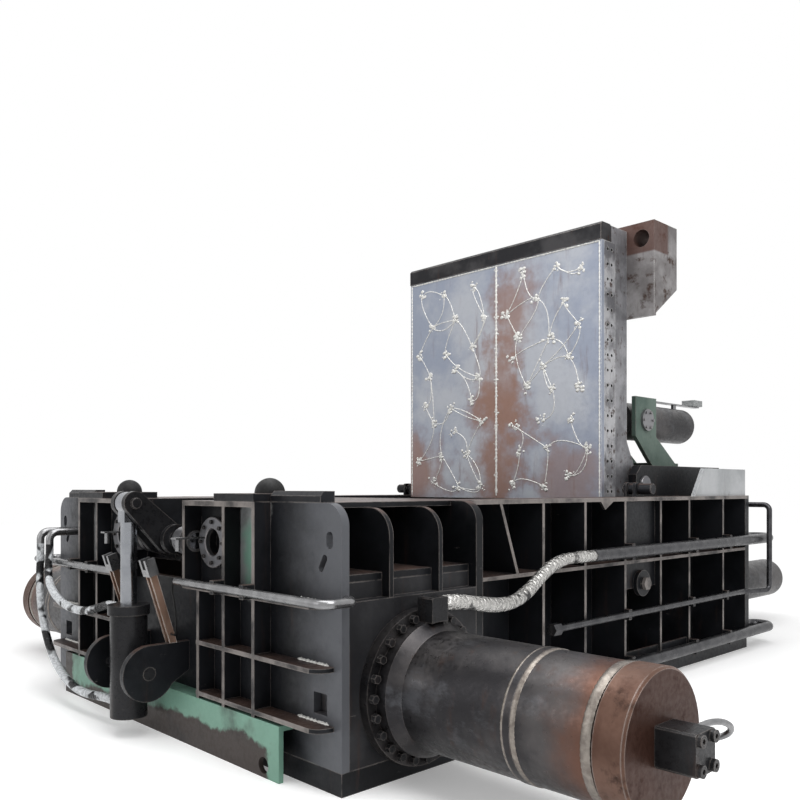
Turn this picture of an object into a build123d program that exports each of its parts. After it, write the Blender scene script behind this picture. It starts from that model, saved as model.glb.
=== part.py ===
"""Hydraulic scrap-metal baler with a tipping lid, a main ram, two opposed side rams and a bale door.

Frame: +Z up, +Y from the bale chamber towards the main cylinders, origin on the floor
under the middle of the press chamber. All lengths are in millimetres.
"""

import os
from math import radians, tan

from build123d import *

os.makedirs("parts", exist_ok=True)

# Driving dimensions of the press
chamber_length = 2430
chamber_width = 2300
bale_length = 970
ram_height = 925
frame_height = 1470
arm_reach = 1760
tail_length = 1350
lid_height = 2320
lid_thickness = 420
running_gap = 5
fit_gap = 0.05
face_gap = 10
cut_overrun = 20

# Plate thicknesses
base_plate_thickness = 120
wall_plate = 50
arm_back_plate = 60
roof_plate = 40
rib_plate = 25
flange_plate = 30
gusset_plate = 30
wall_rib_depth = 300
front_rib_depth = 110

# Heights
ram_low = base_plate_thickness + running_gap
ram_top = ram_low + ram_height
roof_low = ram_top + face_gap
roof_top = roof_low + roof_plate
flange_low = frame_height - flange_plate

# Places along Y, from the chamber outwards
rear_roof_y = chamber_length / 2
blade_y = -chamber_length / 2
front_beam_depth = 540
arm_back_y = blade_y - front_beam_depth
arm_back_outer_y = arm_back_y + arm_back_plate
arm_front_y = arm_back_y - bale_length
front_wall_y = arm_front_y - wall_plate
rib_face_y = front_wall_y - front_rib_depth
arm_axis_y = (arm_front_y + arm_back_y) / 2
tail_wall_thickness = 80
tail_y = rear_roof_y + tail_length
tail_inner_y = tail_y - tail_wall_thickness

# Places along X
wall_inner_x = chamber_width / 2
wall_outer_x = wall_inner_x + wall_plate
rib_face_x = wall_outer_x + wall_rib_depth

# Bale door and its turning gear at the front
door_half_width = 490
door_slot_half = 500
bay_half_width = 420
bay_sill_drop = 500
bay_sill_z = frame_height - bay_sill_drop
shaft_stand_off = 30
shaft_y = front_wall_y - shaft_stand_off
shaft_drop = 250
shaft_z = frame_height - shaft_drop
shaft_radius = 50
lever_throw_y = 240
lever_rise = 230
lever_plate = 40
lever_gap_half = 55
lever_hub_radius = 100
lever_tip_radius = 75
lever_pin_y = shaft_y - lever_throw_y
lever_pin_z = shaft_z + lever_rise
lever_pin_radius = 35
door_barrel_radius = 113
door_barrel_bore = 75
door_barrel_low = 115
door_barrel_length = 700
door_trunnion_z = 420
door_trunnion_radius = 40
door_rod_radius = 50
trunnion_ear_x = 235
trunnion_ear_plate = 40
trunnion_ear_radius = 170

# Lid, hinge and lid cylinders
hinge_set_back = 150
hinge_rise = 100
hinge_y = rear_roof_y - hinge_set_back
hinge_z = frame_height + hinge_rise
hinge_pin_radius = 60
hinge_offset = 500
lid_side_gap = 20
lid_sink = 20
lid_half_width = wall_inner_x - lid_side_gap
lid_low = frame_height - lid_sink
lid_top = lid_low + lid_height
wear_plate = 40
wear_y = hinge_y - hinge_offset
lid_back_y = wear_y + lid_thickness
lid_cylinder_x = 780
lid_trunnion_set_back = 300
lid_trunnion_y = rear_roof_y + lid_trunnion_set_back
lid_trunnion_rise = 700
lid_trunnion_z = frame_height + lid_trunnion_rise
lid_pin_stand_off = 140
lid_pin_y = lid_back_y + lid_pin_stand_off
lid_pin_radius = 45
lid_barrel_radius = 175
lid_barrel_length = 1050
lid_rod_radius = 75

# Side cylinders
side_axis_z = 480
side_tube_radius = 315
side_tube_length = 1280
side_bore_radius = 250
side_rod_radius = 140
side_flange_radius = 420
side_flange_thickness = 60
side_hub_radius = 360
side_hub_length = 70
side_cap_length = 170
side_cap_radius = 322
end_plate = 100

# Main cylinders
main_cylinder_x = 800
main_axis_z = 470
main_tube_radius = 215
main_bore_radius = 165
main_rod_radius = 130
main_tube_overhang = 2090
main_tube_end_y = tail_y + main_tube_overhang


def front_plane(y):
    """Sketch plane facing the front, x along X and y along Z; extruding goes towards -Y."""
    return Plane.XZ.offset(-y)


def side_plane(x):
    """Sketch plane facing +X, x along Y and y along Z; extruding goes towards +X."""
    return Plane.YZ.offset(x)


def save(part, label):
    """Names a finished piece and writes it."""
    part.label = label
    export_step(part, f"parts/{label}.step")


def save_twins(part, near_label, far_label):
    """Writes a piece of the +X side and its mirror image of the -X side as two nodes."""
    with BuildPart() as twin:
        mirror(part, about=Plane.YZ)
    save(part, near_label)
    save(twin.part, far_label)


def save_pair(part, label):
    """Writes a piece of the +X side and its mirror image as one node of two solids."""
    with BuildPart() as pair:
        add(part)
        mirror(part, about=Plane.YZ)
    save(pair.part, label)


def block(x, y, z, mode=Mode.ADD):
    """Adds a plate or bar between two corners, given as (low, high) along each axis."""
    with Locations(((x[0] + x[1]) / 2, (y[0] + y[1]) / 2, (z[0] + z[1]) / 2)):
        Box(x[1] - x[0], y[1] - y[0], z[1] - z[0], mode=mode)


# Base plate, T-shaped in plan
base_inset = 20
base_channel_half = rib_face_x - base_inset
with BuildPart() as base:
    with BuildSketch():
        with BuildLine():
            Polyline(
                (-arm_reach, front_wall_y),
                (arm_reach, front_wall_y),
                (arm_reach, arm_back_outer_y),
                (base_channel_half, arm_back_outer_y),
                (base_channel_half, tail_y),
                (-base_channel_half, tail_y),
                (-base_channel_half, arm_back_outer_y),
                (-arm_reach, arm_back_outer_y),
                close=True,
            )
        make_face()
    extrude(amount=base_plate_thickness)
save(base.part, "base_plate")

# Front plinth, an angle of plate with lifting holes
plinth_half = 1380
plinth_height = 300
plinth_plate = 30
lift_hole_radius = 45
lift_hole_x = 1240
lift_hole_z = 65
with BuildPart() as plinth:
    with BuildSketch(side_plane(-plinth_half)):
        with BuildLine():
            Polyline(
                (rib_face_y, 0),
                (rib_face_y, plinth_height),
                (front_wall_y, plinth_height),
                (front_wall_y, plinth_height - plinth_plate),
                (rib_face_y + plinth_plate, plinth_height - plinth_plate),
                (rib_face_y + plinth_plate, 0),
                close=True,
            )
        make_face()
    extrude(amount=2 * plinth_half)
    with BuildSketch(front_plane(rib_face_y + plinth_plate)):
        with Locations((-lift_hole_x, lift_hole_z), (lift_hole_x, lift_hole_z)):
            Circle(lift_hole_radius)
    extrude(amount=plinth_plate, mode=Mode.SUBTRACT)
save(plinth.part, "front_plinth")

# Front wall with the door bay, ring holes and end cut-outs
wall_corner_radius = 120
ring_x = 590
ring_bore_radius = 80
ring_radius = 154
ring_thickness = 30
oval_hole_inset = 95
oval_hole_x = arm_reach - oval_hole_inset
oval_hole_drop = 190
oval_hole_z = frame_height - oval_hole_drop
oval_hole_size = (90, 55)
slot_hole_inset = 150
slot_hole_x = arm_reach - slot_hole_inset
slot_hole_drop = 310
slot_hole_z = frame_height - slot_hole_drop
slot_hole_size = (100, 40)
square_hole_inset = 170
square_hole_x = arm_reach - square_hole_inset
square_hole_z = 440
square_hole_size = 110
with BuildPart() as front_wall:
    with BuildSketch(front_plane(arm_front_y)):
        with BuildLine():
            FilletPolyline(
                (-arm_reach, base_plate_thickness),
                (-arm_reach, frame_height),
                (-bay_half_width, frame_height),
                radius=wall_corner_radius,
            )
            Polyline(
                (-bay_half_width, frame_height),
                (-bay_half_width, bay_sill_z),
                (bay_half_width, bay_sill_z),
                (bay_half_width, frame_height),
            )
            FilletPolyline(
                (bay_half_width, frame_height),
                (arm_reach, frame_height),
                (arm_reach, base_plate_thickness),
                radius=wall_corner_radius,
            )
            Line((arm_reach, base_plate_thickness), (-arm_reach, base_plate_thickness))
        make_face()
        for side in (-1, 1):
            with Locations((side * ring_x, shaft_z)):
                Circle(ring_bore_radius, mode=Mode.SUBTRACT)
            with Locations((side * oval_hole_x, oval_hole_z)):
                SlotOverall(*oval_hole_size, rotation=90, mode=Mode.SUBTRACT)
            with Locations((side * slot_hole_x, slot_hole_z)):
                SlotOverall(*slot_hole_size, rotation=60, mode=Mode.SUBTRACT)
            with Locations((side * square_hole_x, square_hole_z)):
                Rectangle(square_hole_size, square_hole_size, mode=Mode.SUBTRACT)
    extrude(amount=wall_plate)
save(front_wall.part, "front_wall")

# Front ribs: posts, shelves with rounded ends, top beam and the bearing plates of the door shaft
upper_post_x = (840, 1140)
lower_post_x = (560, 840, 1140)
sill_shelf_drop = 20
shelf_z = (330, 630, bay_sill_z - sill_shelf_drop)
shelf_inner_x = 540
shelf_end_inset = 60
shelf_end_x = arm_reach - shelf_end_inset
shelf_end_radius = 90
bearing_plate_inset = 40
bearing_wall = 15
bearing_plate_x = bay_half_width - bearing_plate_inset
bearing_bore = shaft_radius + bearing_wall
with BuildPart() as ribs:
    for post_x in upper_post_x:
        block(
            (post_x - rib_plate / 2, post_x + rib_plate / 2),
            (rib_face_y, front_wall_y),
            (shelf_z[2], flange_low),
        )
    for post_x in lower_post_x:
        block(
            (post_x - rib_plate / 2, post_x + rib_plate / 2),
            (rib_face_y, front_wall_y),
            (plinth_height, shelf_z[2]),
        )
    for shelf in shelf_z:
        with BuildSketch(Plane.XY.offset(shelf - rib_plate / 2)):
            with BuildLine():
                Line((shelf_inner_x, front_wall_y), (shelf_inner_x, rib_face_y))
                FilletPolyline(
                    (shelf_inner_x, rib_face_y),
                    (shelf_end_x, rib_face_y),
                    (shelf_end_x, front_wall_y),
                    radius=shelf_end_radius,
                )
                Line((shelf_end_x, front_wall_y), (shelf_inner_x, front_wall_y))
            make_face()
        extrude(amount=rib_plate)
    block(
        (bearing_plate_x, upper_post_x[1] + rib_plate / 2),
        (rib_face_y, front_wall_y),
        (flange_low, frame_height),
    )
    block(
        (bearing_plate_x, bearing_plate_x + rib_plate),
        (rib_face_y, arm_front_y),
        (bay_sill_z, flange_low),
    )
    block(
        (bearing_plate_x, bearing_plate_x + rib_plate),
        (rib_face_y, front_wall_y),
        (shelf_z[2], bay_sill_z),
    )
    block(
        (bearing_plate_x, shelf_inner_x),
        (rib_face_y, front_wall_y),
        (shelf_z[2] - rib_plate / 2, shelf_z[2] + rib_plate / 2),
    )
    with Locations(Plane.YZ.offset(bearing_plate_x)):
        with Locations((shaft_y, shaft_z)):
            Cylinder(bearing_bore, 4 * rib_plate, mode=Mode.SUBTRACT)
save_pair(ribs.part, "front_ribs")

# End walls that carry the side cylinders, stepped back above the shelf
end_step = 60
with BuildPart() as end_wall:
    with BuildSketch(front_plane(arm_back_y)):
        with BuildLine():
            Polyline(
                (arm_reach - end_plate, base_plate_thickness),
                (arm_reach, base_plate_thickness),
                (arm_reach, bay_sill_z),
                (arm_reach - end_step, bay_sill_z),
                (arm_reach - end_step, roof_low),
                (arm_reach - end_plate, roof_low),
                close=True,
            )
        make_face()
    extrude(amount=bale_length)
    with Locations(Plane.YZ.offset(arm_reach)):
        with Locations((arm_axis_y, side_axis_z)):
            Cylinder(side_bore_radius, 4 * end_plate, mode=Mode.SUBTRACT)
save_pair(end_wall.part, "end_walls")

# Arm roofs: roof plate, long gussets with rounded ends, top plate and inner bulkhead
gusset_corner_radius = 150
gusset_shares = (0.3, 0.69)
arm_top_inset = 200
arm_top_reach = arm_reach - arm_top_inset
bulkhead_plate = 40
gusset_top_z = flange_low
with BuildPart() as arm_roof:
    block(
        (door_slot_half, arm_reach - end_step),
        (arm_front_y, arm_back_y),
        (roof_low, roof_top),
    )
    for share in gusset_shares:
        gusset_y = arm_front_y + share * bale_length
        with BuildSketch(front_plane(gusset_y + gusset_plate / 2)):
            with BuildLine():
                Polyline(
                    (door_slot_half, flange_low),
                    (door_slot_half, roof_top),
                    (arm_reach - end_step, roof_top),
                    (arm_reach - end_step, bay_sill_z),
                    (arm_reach, bay_sill_z),
                )
                FilletPolyline(
                    (arm_reach, bay_sill_z),
                    (arm_reach, gusset_top_z),
                    (door_slot_half, gusset_top_z),
                    radius=gusset_corner_radius,
                )
            make_face()
        extrude(amount=gusset_plate)
    block((door_slot_half, arm_top_reach), (arm_front_y, arm_back_y), (flange_low, frame_height))
    block(
        (door_slot_half, door_slot_half + bulkhead_plate),
        (arm_front_y, arm_back_y),
        (roof_top, flange_low),
    )
save_pair(arm_roof.part, "arm_roofs")

# Arm back walls with a rounded outer top corner
with BuildPart() as arm_back:
    with BuildSketch(front_plane(arm_back_outer_y)):
        with BuildLine():
            Polyline(
                (wall_outer_x, frame_height),
                (wall_outer_x, base_plate_thickness),
                (arm_reach, base_plate_thickness),
            )
            FilletPolyline(
                (arm_reach, base_plate_thickness),
                (arm_reach, frame_height),
                (wall_outer_x, frame_height),
                radius=wall_corner_radius,
            )
        make_face()
    extrude(amount=arm_back_plate)
save_pair(arm_back.part, "arm_back_walls")

# Channel walls beside the press chamber
tie_boss_y_share = 0.545
tie_boss_z = 776
with BuildPart() as channel_wall:
    block(
        (wall_inner_x, wall_outer_x),
        (arm_back_y, tail_inner_y),
        (base_plate_thickness, flange_low),
    )
save_pair(channel_wall.part, "channel_walls")

# Ribs, top flange, toe and pad plate outside each channel wall
channel_span = tail_inner_y - arm_back_outer_y
wall_rib_shares = (0.2275, 0.35, 0.482, 0.614, 0.732, 0.888)
wall_shelf_z = 960
brace_shares = (0.114, 0.157)
pad_recess = 50
pad_plate = 20
pad_low = 740
toe_height = 130
tab_share = 0.4
tab_width = 170
tab_drop = 60
with BuildPart() as wall_ribs:
    for share in wall_rib_shares:
        rib_y = arm_back_outer_y + share * channel_span
        block(
            (wall_outer_x, rib_face_x),
            (rib_y - rib_plate / 2, rib_y + rib_plate / 2),
            (base_plate_thickness, flange_low),
        )
    block(
        (wall_outer_x, rib_face_x),
        (arm_back_outer_y, tail_inner_y),
        (wall_shelf_z - rib_plate / 2, wall_shelf_z + rib_plate / 2),
    )
    block((wall_inner_x, rib_face_x), (arm_back_outer_y, tail_y), (flange_low, frame_height))
    brace_top_y = arm_back_outer_y + brace_shares[0] * channel_span
    brace_low_y = arm_back_outer_y + brace_shares[1] * channel_span
    with BuildSketch(side_plane(wall_outer_x)):
        with BuildLine():
            Polyline(
                (brace_top_y, flange_low),
                (brace_top_y + rib_plate, flange_low),
                (brace_low_y + rib_plate, wall_shelf_z),
                (brace_low_y, wall_shelf_z),
                close=True,
            )
        make_face()
    extrude(amount=wall_rib_depth)
    pad_start_y = arm_back_outer_y + wall_rib_shares[2] * channel_span
    pad_end_y = arm_back_outer_y + wall_rib_shares[3] * channel_span
    block(
        (rib_face_x - pad_recess - pad_plate, rib_face_x - pad_recess),
        (pad_start_y, pad_end_y),
        (pad_low, flange_low),
    )
    toe_end_y = arm_back_outer_y + wall_rib_shares[4] * channel_span
    block(
        (rib_face_x - pad_plate - pad_plate, rib_face_x - pad_plate),
        (pad_start_y, toe_end_y),
        (base_plate_thickness, base_plate_thickness + toe_height),
    )
    tab_y = arm_back_outer_y + tab_share * channel_span
    with BuildSketch(side_plane(rib_face_x - pad_plate)):
        with BuildLine():
            Polyline(
                (tab_y, flange_low),
                (tab_y + tab_width, flange_low),
                (tab_y + tab_width / 3, flange_low - tab_drop),
                close=True,
            )
        make_face()
    extrude(amount=pad_plate)
save_pair(wall_ribs.part, "channel_ribs")

# Tie bosses on the pad plates: a washer and a hexagon nut each
boss_radius = 105
boss_thickness = 35
nut_across_corners = 55
nut_thickness = 40
tie_boss_y = pad_start_y + tie_boss_y_share * (pad_end_y - pad_start_y)
with BuildPart() as tie_boss:
    with BuildSketch(side_plane(rib_face_x - pad_recess)):
        with Locations((tie_boss_y, tie_boss_z)):
            Circle(boss_radius)
    extrude(amount=boss_thickness)
    with BuildSketch(side_plane(rib_face_x - pad_recess + boss_thickness)):
        with Locations((tie_boss_y, tie_boss_z)):
            RegularPolygon(nut_across_corners, side_count=6)
    extrude(amount=nut_thickness)
save_pair(tie_boss.part, "tie_bosses")

# Front beam over the way into the bale chamber, a hollow box section
beam_plate = 40
fixed_blade_thickness = 40
fixed_blade_height = 150
beam_end_y = blade_y - fixed_blade_thickness
beam_height = frame_height - roof_low
with BuildPart() as front_beam:
    with BuildSketch(side_plane(-wall_inner_x)):
        with Locations(((arm_back_y + beam_end_y) / 2, roof_low + beam_height / 2)):
            Rectangle(beam_end_y - arm_back_y, beam_height)
            Rectangle(
                beam_end_y - arm_back_y - 2 * beam_plate,
                beam_height - 2 * beam_plate,
                mode=Mode.SUBTRACT,
            )
    extrude(amount=chamber_width)
save(front_beam.part, "front_beam")

# Fixed shear blade on the beam, with countersunk bolt seats
blade_bolt_radius = 22
blade_bolt_count = 8
blade_bolt_pitch = chamber_width / blade_bolt_count
with BuildPart() as blade:
    with BuildSketch(front_plane(blade_y)):
        with Locations((0, roof_low + fixed_blade_height / 2)):
            Rectangle(chamber_width, fixed_blade_height)
            with GridLocations(blade_bolt_pitch, fixed_blade_height, blade_bolt_count, 1):
                Circle(blade_bolt_radius, mode=Mode.SUBTRACT)
    extrude(amount=fixed_blade_thickness)
save(blade.part, "fixed_blade")

# Roof over the resting main ram, with cross ribs
rear_rib_height = 200
rear_rib_count = 3
rear_roof_span = tail_inner_y - rear_roof_y
with BuildPart() as rear_roof:
    block((-wall_inner_x, wall_inner_x), (rear_roof_y, tail_inner_y), (roof_low, roof_top))
    for step in range(rear_rib_count):
        rib_y = rear_roof_y + (step + 1) * rear_roof_span / (rear_rib_count + 1)
        block(
            (-wall_inner_x, wall_inner_x),
            (rib_y - rib_plate / 2, rib_y + rib_plate / 2),
            (roof_top, roof_top + rear_rib_height),
        )
save(rear_roof.part, "rear_roof")

# Tail wall with the bores of the two main cylinders
with BuildPart() as tail:
    with BuildSketch(front_plane(tail_y)):
        with Locations((0, (base_plate_thickness + flange_low) / 2)):
            Rectangle(2 * rib_face_x, flange_low - base_plate_thickness)
        with Locations((-main_cylinder_x, main_axis_z), (main_cylinder_x, main_axis_z)):
            Circle(main_tube_radius + fit_gap, mode=Mode.SUBTRACT)
    extrude(amount=tail_wall_thickness)
save(tail.part, "tail_wall")

# Hinge cheeks on the channel walls
cheek_inner_x = wall_inner_x + face_gap
cheek_plate = 80
cheek_height = 270
cheek_front = 135
cheek_chamfer = 80
with BuildPart() as cheek:
    with BuildSketch(side_plane(cheek_inner_x)):
        with BuildLine():
            Polyline(
                (hinge_y - cheek_front, frame_height),
                (tail_inner_y, frame_height),
                (tail_inner_y, frame_height + cheek_height),
                (hinge_y - cheek_front + cheek_chamfer, frame_height + cheek_height),
                (hinge_y - cheek_front, frame_height + cheek_height - cheek_chamfer),
                close=True,
            )
        make_face()
        with Locations((hinge_y, hinge_z)):
            Circle(hinge_pin_radius + fit_gap, mode=Mode.SUBTRACT)
    extrude(amount=cheek_plate)
save_pair(cheek.part, "hinge_cheeks")

# Hinge pins with a retaining head
hinge_arm_plate = 90
hinge_arm_x = lid_half_width - hinge_arm_plate
pin_head_radius = 80
pin_head_thickness = 20
with BuildPart() as hinge_pin:
    with BuildSketch(side_plane(hinge_arm_x)):
        with Locations((hinge_y, hinge_z)):
            Circle(hinge_pin_radius)
    extrude(amount=cheek_inner_x + cheek_plate - hinge_arm_x)
    with BuildSketch(side_plane(cheek_inner_x + cheek_plate)):
        with Locations((hinge_y, hinge_z)):
            Circle(pin_head_radius)
    extrude(amount=pin_head_thickness)
    chamfer(hinge_pin.faces().sort_by(Axis.X)[-1].edges(), length=pin_head_thickness / 4)
save_pair(hinge_pin.part, "hinge_pins")

# Rear cover between the cheeks
cover_plate = 40
cover_top_z = frame_height + cheek_height
cover_set_back = 60
cover_front_y = rear_roof_y + cover_set_back
with BuildPart() as rear_cover:
    block(
        (-cheek_inner_x, cheek_inner_x),
        (cover_front_y, tail_inner_y),
        (cover_top_z - cover_plate, cover_top_z),
    )
    block(
        (-cheek_inner_x, cheek_inner_x),
        (tail_inner_y - cover_plate, tail_inner_y),
        (frame_height, cover_top_z - cover_plate),
    )
save(rear_cover.part, "rear_cover")

# Slant-ended hood plates on the outer edge of the top flange
hood_inset = 60
hood_plate = 40
hood_height = 250
hood_length = 1025
hood_slant = 185
hood_end_inset = 35
hood_end_y = tail_y - hood_end_inset
with BuildPart() as hood:
    with BuildSketch(side_plane(rib_face_x - hood_inset)):
        with BuildLine():
            Polyline(
                (hood_end_y - hood_length, frame_height),
                (hood_end_y, frame_height),
                (hood_end_y, frame_height + hood_height),
                (hood_end_y - hood_length + hood_slant, frame_height + hood_height),
                close=True,
            )
        make_face()
    extrude(amount=hood_plate)
save_pair(hood.part, "hood_plates")

# Lid lock: a forked bracket with a round locking pin on the top flange
lock_set_back = 190
lock_stand_off = 60
lock_y = wear_y + lock_set_back
lock_x = wall_outer_x + lock_stand_off
lock_plate = 25
lock_gap = 60
lock_height = 120
lock_length = 130
lock_pin_radius = 45
lock_pin_rise = 65
lock_pin_z = frame_height + lock_pin_rise
lock_pin_length = 260
with BuildPart() as lock:
    for plate_x in (lock_x, lock_x + lock_plate + lock_gap):
        with BuildSketch(side_plane(plate_x)):
            with BuildLine():
                Line((lock_y - lock_length / 2, frame_height), (lock_y + lock_length / 2, frame_height))
                FilletPolyline(
                    (lock_y + lock_length / 2, frame_height),
                    (lock_y + lock_length / 2, frame_height + lock_height),
                    (lock_y - lock_length / 2, frame_height + lock_height),
                    (lock_y - lock_length / 2, frame_height),
                    radius=lock_plate,
                )
            make_face()
        extrude(amount=lock_plate)
    with BuildSketch(side_plane(lock_x - lock_plate)):
        with Locations((lock_y, lock_pin_z)):
            Circle(lock_pin_radius)
    extrude(amount=lock_pin_length)
    chamfer(lock.faces().sort_by(Axis.X)[-1].edges(), length=lock_plate / 5)
save_pair(lock.part, "lid_locks")

# Buffer domes on their plates, and the bevelled bars beside them
dome_radius = 90
dome_x = 900
dome_set_back = 280
dome_y = rib_face_y + dome_set_back
dome_plate_x = (740, 1145)
dome_plate_thickness = 45
dome_plate_depth = 420
bar_x = (1150, 1590)
bar_depth = 95
bar_height = 60
bar_bevel = 25
with BuildPart() as dome_plates:
    block(
        dome_plate_x,
        (rib_face_y, rib_face_y + dome_plate_depth),
        (frame_height, frame_height + dome_plate_thickness),
    )
    with BuildSketch(side_plane(bar_x[0])):
        with BuildLine():
            Polyline(
                (front_wall_y, frame_height),
                (front_wall_y, frame_height + bar_height - bar_bevel),
                (front_wall_y + bar_bevel, frame_height + bar_height),
                (front_wall_y + bar_depth, frame_height + bar_height),
                (front_wall_y + bar_depth, frame_height),
                close=True,
            )
        make_face()
    extrude(amount=bar_x[1] - bar_x[0])
save_pair(dome_plates.part, "top_bars")

with BuildPart() as dome:
    with BuildSketch(front_plane(dome_y)):
        dome_base_z = frame_height + dome_plate_thickness
        with BuildLine():
            Polyline((dome_x, dome_base_z), (dome_x + dome_radius, dome_base_z))
            CenterArc((dome_x, dome_base_z), dome_radius, 0, 90)
            Line((dome_x, dome_base_z + dome_radius), (dome_x, dome_base_z))
        make_face()
    revolve(axis=Axis((dome_x, dome_y, 0), (0, 0, 1)))
save_pair(dome.part, "buffer_domes")

# Bolted rings round the two openings of the front wall
ring_bolt_circle = 122
ring_bolt_count = 8
ring_bolt_radius = 13
ring_bolt_height = 14
with BuildPart() as ring:
    with BuildSketch(front_plane(front_wall_y)):
        with Locations((ring_x, shaft_z)):
            Circle(ring_radius)
            Circle(ring_bore_radius, mode=Mode.SUBTRACT)
    extrude(amount=ring_thickness)
    chamfer(ring.faces().sort_by(Axis.Y)[0].edges(), length=ring_thickness / 6)
save_pair(ring.part, "port_rings")

# Bolt heads of the rings and of the side cylinder flanges, left out under the port block
flange_bolt_circle = 385
flange_bolt_count = 24
flange_bolt_step = 360 / flange_bolt_count
flange_bolt_radius = 24
flange_bolt_height = 30
with BuildPart() as bolts:
    with BuildSketch(front_plane(front_wall_y - ring_thickness)):
        with Locations((ring_x, shaft_z)):
            with PolarLocations(ring_bolt_circle, ring_bolt_count):
                RegularPolygon(ring_bolt_radius, side_count=6)
    extrude(amount=ring_bolt_height)
    with BuildSketch(side_plane(arm_reach + side_flange_thickness)):
        with Locations((arm_axis_y, side_axis_z)):
            with PolarLocations(
                flange_bolt_circle,
                flange_bolt_count - 1,
                start_angle=90 + flange_bolt_step,
                angular_range=360 - 2 * flange_bolt_step,
                endpoint=True,
            ):
                RegularPolygon(flange_bolt_radius, side_count=6)
    extrude(amount=flange_bolt_height)
save_pair(bolts.part, "frame_bolts")

# Side cylinders: flange, hub and tube turned in one, bored for the rod
tube_start_x = arm_reach + side_flange_thickness + side_hub_length
tube_end_x = arm_reach + side_tube_length
weld_band = 40
weld_band_rise = 5
weld_band_share = 0.66
gland_length = 120
piston_length = 120
with BuildPart() as side_cylinder:
    with BuildSketch(Plane.XY):
        with BuildLine():
            Polyline(
                (arm_reach, side_rod_radius + face_gap),
                (arm_reach, side_flange_radius),
                (arm_reach + side_flange_thickness, side_flange_radius),
                (arm_reach + side_flange_thickness, side_hub_radius),
                (tube_start_x, side_hub_radius),
                (tube_start_x + side_hub_length, side_tube_radius),
                (arm_reach + weld_band_share * side_tube_length, side_tube_radius),
                (arm_reach + weld_band_share * side_tube_length, side_tube_radius + weld_band_rise),
                (
                    arm_reach + weld_band_share * side_tube_length + weld_band,
                    side_tube_radius + weld_band_rise,
                ),
                (arm_reach + weld_band_share * side_tube_length + weld_band, side_tube_radius),
                (tube_end_x, side_tube_radius),
                (tube_end_x, side_bore_radius),
                (arm_reach + gland_length, side_bore_radius),
                (arm_reach + gland_length, side_rod_radius + face_gap),
                close=True,
            )
        make_face()
    revolve(axis=Axis.X)
side_tube = side_cylinder.part.moved(Location((0, arm_axis_y, side_axis_z)))
save_twins(side_tube, "near_side_cylinder", "far_side_cylinder")

# End caps of the side cylinders, with a neck at the weld
cap_chamfer = 12
cap_neck = 25
cap_neck_depth = 30
with BuildPart() as side_cap:
    with BuildSketch(side_plane(tube_end_x)):
        with Locations((arm_axis_y, side_axis_z)):
            Circle(side_cap_radius - cap_neck_depth)
    extrude(amount=cap_neck)
    with BuildSketch(side_plane(tube_end_x + cap_neck)):
        with Locations((arm_axis_y, side_axis_z)):
            Circle(side_cap_radius)
    extrude(amount=side_cap_length - cap_neck)
    chamfer(side_cap.faces().sort_by(Axis.X)[-1].edges(), length=cap_chamfer)
save_pair(side_cap.part, "side_cylinder_caps")

# Port blocks: one on each end cap and one on top of each flange
cap_block_size = (180, 165, 175)
cap_bolt_spacing = (110, 120)
cap_bolt_head = (26, 20)
socket_share = 0.5
cap_block_rise = 5
cap_block_z = side_axis_z + cap_block_rise
flange_block_size = (110, 120, 130)
flange_block_seat_z = side_axis_z + side_hub_radius
cap_face_x = tube_end_x + side_cap_length
flange_face_x = arm_reach + side_flange_thickness
block_fillet = 8
with BuildPart() as port_blocks:
    block(
        (cap_face_x, cap_face_x + cap_block_size[0]),
        (arm_axis_y - cap_block_size[1] / 2, arm_axis_y + cap_block_size[1] / 2),
        (cap_block_z - cap_block_size[2] / 2, cap_block_z + cap_block_size[2] / 2),
    )
    chamfer(port_blocks.edges().filter_by(Axis.X), length=block_fillet)
    with BuildSketch(side_plane(cap_face_x + cap_block_size[0])):
        with Locations((arm_axis_y, cap_block_z)):
            with GridLocations(*cap_bolt_spacing, 2, 2):
                Circle(cap_bolt_head[0])
                RegularPolygon(cap_bolt_head[0] * socket_share, side_count=6, mode=Mode.SUBTRACT)
    extrude(amount=cap_bolt_head[1])
with BuildPart() as flange_block:
    with BuildSketch(side_plane(flange_face_x)):
        with Locations((arm_axis_y, flange_block_seat_z + flange_block_size[2] / 2)):
            Rectangle(flange_block_size[1], flange_block_size[2])
    extrude(amount=flange_block_size[0])
    chamfer(flange_block.edges().filter_by(Axis.X), length=block_fillet)
    with BuildSketch(Plane.XY.offset(flange_block_seat_z - flange_block_size[2])):
        with Locations((flange_face_x + flange_block_size[0] / 2, arm_axis_y)):
            Rectangle(flange_block_size[0], flange_block_size[1])
    extrude(amount=flange_block_size[2] + block_fillet)
    with Locations(Location((0, arm_axis_y, side_axis_z), (0, 90, 0))):
        Cylinder(
            side_hub_radius,
            2 * (arm_reach + side_tube_length),
            mode=Mode.SUBTRACT,
        )
with BuildPart() as all_blocks:
    add(port_blocks.part)
    add(flange_block.part)
save_pair(all_blocks.part, "port_blocks")

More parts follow.
